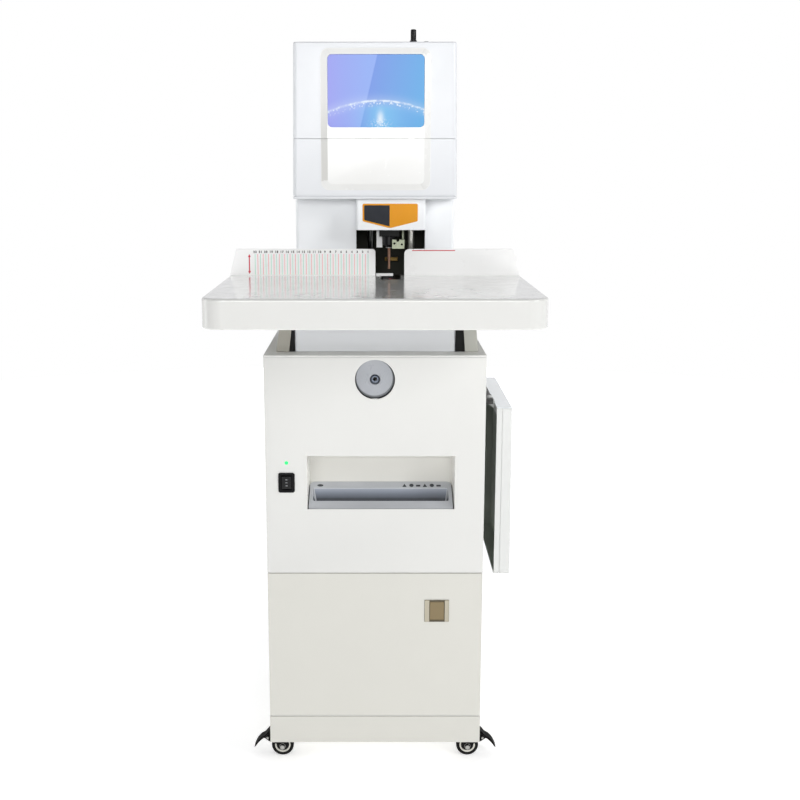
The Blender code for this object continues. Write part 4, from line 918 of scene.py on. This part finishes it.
# twist drill tube: a hollow bit with a slit and a ground lip
bit = [(1.5, 892.1), (1.8, 892.1), (2.25, 893.6), (2.25, 912.0), (2.6, 914.0), (2.6, 932.3), (1.5, 932.3)]
piece("drill_bit_skin", lathe_bm(bit, (26.0, 62.5), "Z", 32, True), COPPERTONE, "spindle", sharp=50, cuts=(box_bm((25.3, 26.7), (58, 62.5), (900, 928)),), replaces=("drill_bit",))
collet = [(2.9, 930.8), (5.4, 930.8), (6.6, 932.2), (6.6, 932.55), (2.9, 932.55)]
piece("drill_collet", lathe_bm(collet, (26.0, 62.5), "Z", 48, True), STEEL, "spindle", sharp=40)
screws = [lathe_bm([(0, 43.0), (1.3, 43.1), (1.8, 43.5), (2.0, 44.2), (0, 44.2)], at, "Y", 24) for at in ((35.2, 940.0), (49.0, 938.5))]
piece("press_foot_screws", merged(*screws), BLACK, "presser", sharp=50)

# top knob
knob_bm = lathe_bm([(0, 1316.3), (3.6, 1316.3), (4.1, 1315.9), (4.25, 1315.2), (4.25, 1298.0), (6.2, 1297.2), (6.4, 1296.6), (6.4, 1293.1), (6.1, 1292.9), (0, 1292.9)], (68.2, 53.5), "Z", 48)
flutes = []
for i in range(14):
    t = math.tau * i / 14
    flutes.append(rod_bm((68.2 + 4.3 * math.cos(t), 53.5 + 4.3 * math.sin(t)), "Z", 0.62, 1298.4, 1315.2, 10))
piece("top_knob_skin", merged(knob_bm, *flutes), BLACK_GLOSS, "knob", sharp=45, replaces=("top_knob",))
piece("top_knob_pointer", box_bm((67.8, 68.6), (47.0, 50.2), (1296.7, 1297.3)), MARK, "knob", 0.15, 2)

# ---------------------------------------------------------------- side shelf
bm = bmesh.new()
shelf_cuts = [
    prism_bm(rounded(-118.5, 173.5, 367.0, 654.4, (9, 9, 3, 3), 8), "X", 209.7, 235.0),
    prism_bm(circle(204.0, 672.0, 3.3, 24), "Y", -90, 150),
]
# parting groove between the inner frame and the outer shell
groove = bmesh.new()
out_ring = rounded(-125.0, 180.0, 360.5, 691.0, (14, 14, 7, 7), 10)
in_ring = rounded(-121.3, 176.3, 364.2, 680.0, (11, 11, 4, 4), 10)
rings = []
for outline, x in ((out_ring, 220.6), (out_ring, 222.0), (in_ring, 222.0), (in_ring, 220.6)):
    rings.append([groove.verts.new((x, y, z)) for y, z in outline])
for one, two in zip(rings, rings[1:] + rings[:1]):
    for i in range(len(one)):
        j = (i + 1) % len(one)
        groove.faces.new((one[i], one[j], two[j], two[i]))
shelf_cuts.append(groove)
lugs = [
    prism_bm([(199.0, 667.0), (213.7, 655), (213.7, 667.9), (209.0, 677.0), (202.5, 678.5), (198.0, 675.0)], "Y", lo, hi)
    for lo, hi in ((-72.0, -58.0), (113.0, 127.0))
]
shelf_bm = prism_bm(rounded(-122.5, 177.5, 363.0, 668.4, (12, 12, 5, 5), 10), "X", 211.7, 238.0)
for vert in shelf_bm.verts:
    if vert.co.x > 225 and vert.co.z < 500:
        vert.co.x += 1.6
shelf = piece(
    "shelf_panel_skin", shelf_bm, SHELF, "shelf", 1.2, 4, sharp=38,
    cuts=shelf_cuts, joins=lugs, replaces=("shelf_panel",),
)
shelf.data.materials.append(HOLLOW)
shelf.data.materials.append(SHELF_TOP_LIT)
# upward faces at the top take the painted-light finish; faces inside the pocket take the inner finish
for polygon in shelf.data.polygons:
    c = polygon.center / MM
    if c.z > 667.0 and c.x > 212.0 and polygon.normal.z > 0.3:
        polygon.material_index = 2
    if 212.6 < c.x < 235.6 and -119 < c.y < 174 and 366.3 < c.z < 655 and not 220.3 < c.x < 222.3:
        polygon.material_index = 1
refined("shelf_hinge_bracket", DARKGREY, 0.5)

# ---------------------------------------------------------------- casters
TRAIL, WHEEL_R = 22.0, 20.5


def caster(tag, sx, sy, trail):
    across = (-trail[1], trail[0])
    turn = Matrix(((trail[0], across[0], 0, sx), (trail[1], across[1], 0, sy), (0, 0, 1, 0), (0, 0, 0, 1)))

    def put(bm):
        bmesh.ops.transform(bm, matrix=turn, verts=bm.verts)
        return bm

    refined(f"caster_fork_{tag}", BLACK, 0.6)
    centre = (TRAIL, WHEEL_R)
    tyre = [(14.6, -9.0), (15.0, -9.7)]
    tyre += [(15.4, -10.0), (18.6, -10.0)]
    tyre += [(18.6 + 1.9 * math.sin(math.radians(a)), -8.1 - 1.9 * math.cos(math.radians(a))) for a in range(15, 91, 15)]
    tyre += [(20.5, 0.0)]
    tyre = tyre + [(r, -v) for r, v in reversed(tyre[:-1])]
    piece(f"wheel_tyre_{tag}", put(lathe_bm(tyre, centre, "Y", 72, True)), RUBBER, f"wheel_{tag}", sharp=50, replaces=(f"caster_wheel_{tag}",))
    hub = [(3.3, -9.8), (7.6, -9.8), (8.2, -9.3), (8.8, -8.2), (11.6, -8.0), (14.5, -8.8), (14.5, 8.8), (11.6, 8.0), (8.8, 8.2), (8.2, 9.3), (7.6, 9.8), (3.3, 9.8)]
    piece(f"wheel_hub_{tag}", put(lathe_bm(hub, centre, "Y", 72, True)), HUB, f"wheel_{tag}", sharp=40)
    # a pale ring on each face of the wheel, its colour a painted highlight
    for side, s in (("a", -1), ("b", 1)):
        ring = [(11.6, s * 7.9), (11.6, s * 9.2), (12.1, s * 10.0), (13.7, s * 10.3), (14.4, s * 9.7), (14.4, s * 8.6)]
        piece(f"wheel_ring_highlight_{tag}_{side}", put(lathe_bm(ring, centre, "Y", 72, True)), HUB_RING_HIGHLIGHT, f"wheel_{tag}", sharp=50)
    bolt = []
    for s in (-1, 1):
        washer = lathe_bm([(0, s * 14.6), (5.6, s * 14.6), (5.6, s * 15.4), (0, s * 15.4)], centre, "Y", 32)
        head = prism_bm(circle(centre[0], centre[1], 4.7, 6, 0.3), "Y", min(s * 15.4, s * 20.9), max(s * 15.4, s * 20.9))
        bolt += [washer, head]
    piece(f"axle_bolt_{tag}", put(merged(*bolt)), PLATED, f"fork_{tag}", 0.5, 2)
    if trail[0]:
        heads = [lathe_bm([(0, s * 18.4), (1.9, s * 18.2), (2.5, s * 17.4), (2.5, s * 14.6), (0, s * 14.6)], (49.4, 38.0), "Y", 32) for s in (-1, 1)]
        piece(f"pedal_pin_{tag}", put(merged(*heads)), PLATED, f"fork_{tag}", sharp=40)
    race = [(0, 47.6), (15.2, 47.6), (15.8, 48.4), (15.8, 50.4), (15.0, 51.2), (0, 51.2)]
    piece(f"swivel_race_{tag}", put(lathe_bm(race, (0, 0), "Z", 48)), ZINC, f"fork_{tag}", sharp=50)


for tag, sx, sy, trail in (
    ("front_left", -150.0, FRONT + 60, (-1.0, 0.0)), ("front_right", 150.0, FRONT + 60, (1.0, 0.0)),
    ("rear_left", -150.0, 253.5, (0.0, -1.0)), ("rear_right", 150.0, 253.5, (0.0, -1.0)),
):
    caster(tag, sx, sy, trail)
refined("brake_pedal_front_left", PEDAL, 0.7)
refined("brake_pedal_front_right", PEDAL, 0.7)


# ---------------------------------------------------------------- fixings on the back
def screw(name, x, z, y, body, r=3.2):
    head = lathe_bm([(0, y + 1.9), (r * 0.55, y + 1.8), (r * 0.9, y + 1.2), (r, y + 0.5), (r, y - 0.3), (0, y - 0.3)], (x, z), "Y", 32)
    cross = (box_bm((x - r * 0.6, x + r * 0.6), (y + 0.9, y + 4), (z - 0.4, z + 0.4)), box_bm((x - 0.4, x + 0.4), (y + 0.9, y + 4), (z - r * 0.6, z + r * 0.6)))
    return piece(name, head, ZINC, body, sharp=45, cuts=cross)


count = 0
for x, z in ((-178, 118), (178, 118), (-178, 430), (178, 430), (-178, 748), (178, 748)):
    count += 1
    screw(f"back_screw_{count}", x, z, BACK, "cabinet")
for x, z in ((-130, 784), (130, 784), (-130, 1006), (130, 1006)):
    count += 1
    screw(f"back_screw_{count}", x, z, HEAD_REAR, "cabinet")
for x, z in ((-128, 1040), (128, 1040), (-126, 1150), (126, 1150), (-125, 1276), (125, 1276)):
    count += 1
    screw(f"back_screw_{count}", x, z, HEAD_REAR, "cabinet")

# ---------------------------------------------------------------- stage, light, camera
floor_bm = bmesh.new()
bmesh.ops.create_circle(floor_bm, cap_ends=True, radius=4.2, segments=128)
floor = to_object("floor", floor_bm, 1.0)
floor_finish = Finish("floor_white", 0.9, specular=0.1)
floor_finish.base(floor_finish.ramp(floor_finish.noise(0.8, 2.0), [(0.3, linear((244, 244, 244))), (0.7, linear((246, 246, 246)))]))
floor_finish.set("Emission Color", (1.0, 1.0, 1.0, 1.0))
floor_split = floor_finish.node("ShaderNodeSeparateXYZ")
floor_finish.link(floor_finish.coord, floor_split.inputs[0])
east, north = floor_split.outputs["X"], floor_split.outputs["Y"]
reach = floor_finish.math("SQRT", floor_finish.math("ADD", floor_finish.math("MULTIPLY", east, east), floor_finish.math("MULTIPLY", north, north)))
floor_finish.link(floor_finish.spread(reach, 0.45, 1.0, 0.5, 2.6), floor_finish.shader.inputs["Emission Strength"])
floor.data.materials.append(floor_finish.mat)

world = bpy.data.worlds.new("studio")
bpy.context.scene.world = world
world.use_nodes = True
tree = world.node_tree
backdrop = tree.nodes["Background"]
backdrop.inputs["Color"].default_value = (1.0, 1.0, 1.0, 1.0)
backdrop.inputs["Strength"].default_value = 1.0
# the studio is brightest around the horizon and dimmer overhead
direction = tree.nodes.new("ShaderNodeTexCoord").outputs["Generated"]
height = tree.nodes.new("ShaderNodeSeparateXYZ")
tree.links.new(direction, height.inputs[0])
dome = tree.nodes.new("ShaderNodeValToRGB")
dome.color_ramp.elements[0].position = 0.05
dome.color_ramp.elements[0].color = (0.31, 0.31, 0.313, 1.0)
dome.color_ramp.elements[1].position = 0.75
dome.color_ramp.elements[1].color = (0.24, 0.242, 0.248, 1.0)
tree.links.new(height.outputs["Z"], dome.inputs["Fac"])
behind = tree.nodes.new("ShaderNodeMapRange")
tree.links.new(height.outputs["Y"], behind.inputs["Value"])
for socket, value in (("From Min", -0.05), ("From Max", 0.35), ("To Min", 1.0), ("To Max", 2.9)):
    behind.inputs[socket].default_value = value
studio = tree.nodes.new("ShaderNodeBackground")
tree.links.new(dome.outputs["Color"], studio.inputs["Color"])
tree.links.new(behind.outputs["Result"], studio.inputs["Strength"])
path = tree.nodes.new("ShaderNodeLightPath")
mix = tree.nodes.new("ShaderNodeMixShader")
tree.links.new(path.outputs["Is Camera Ray"], mix.inputs[0])
tree.links.new(studio.outputs[0], mix.inputs[1])
tree.links.new(backdrop.outputs[0], mix.inputs[2])
tree.links.new(mix.outputs[0], tree.nodes["World Output"].inputs["Surface"])


def softbox(name, at, to, size, watts):
    light = bpy.data.lights.new(name, "AREA")
    light.shape = "RECTANGLE"
    light.size, light.size_y = size
    light.energy = watts
    ob = bpy.data.objects.new(name, light)
    bpy.context.scene.collection.objects.link(ob)
    ob.location = at
    ob.rotation_euler = (Vector(to) - Vector(at)).to_track_quat("-Z", "Y").to_euler()
    return ob


softbox("front", (-0.2, -4.4, 1.62), (0, 0, 0.9), (2.6, 0.85), 72)
softbox("key", (2.9, -2.4, 2.25), (0, 0, 0.9), (1.3, 1.1), 54)
softbox("side", (-3.0, 0.3, 1.3), (0, 0, 0.9), (1.2, 2.0), 8)

camera_data = bpy.data.cameras.new("camera")
camera_data.lens = 52.38
camera_data.sensor_width = 36.0
camera_data.shift_x = 0.03125
camera_data.clip_start = 0.05
camera_data.clip_end = 80.0
camera = bpy.data.objects.new("camera", camera_data)
camera.location = (0.0, -2.0980, 1.0803)
camera.rotation_euler = (math.radians(78.6), 0.0, 0.0)
bpy.context.scene.collection.objects.link(camera)
bpy.context.scene.camera = camera
bpy.context.scene.view_settings.view_transform = "Standard"
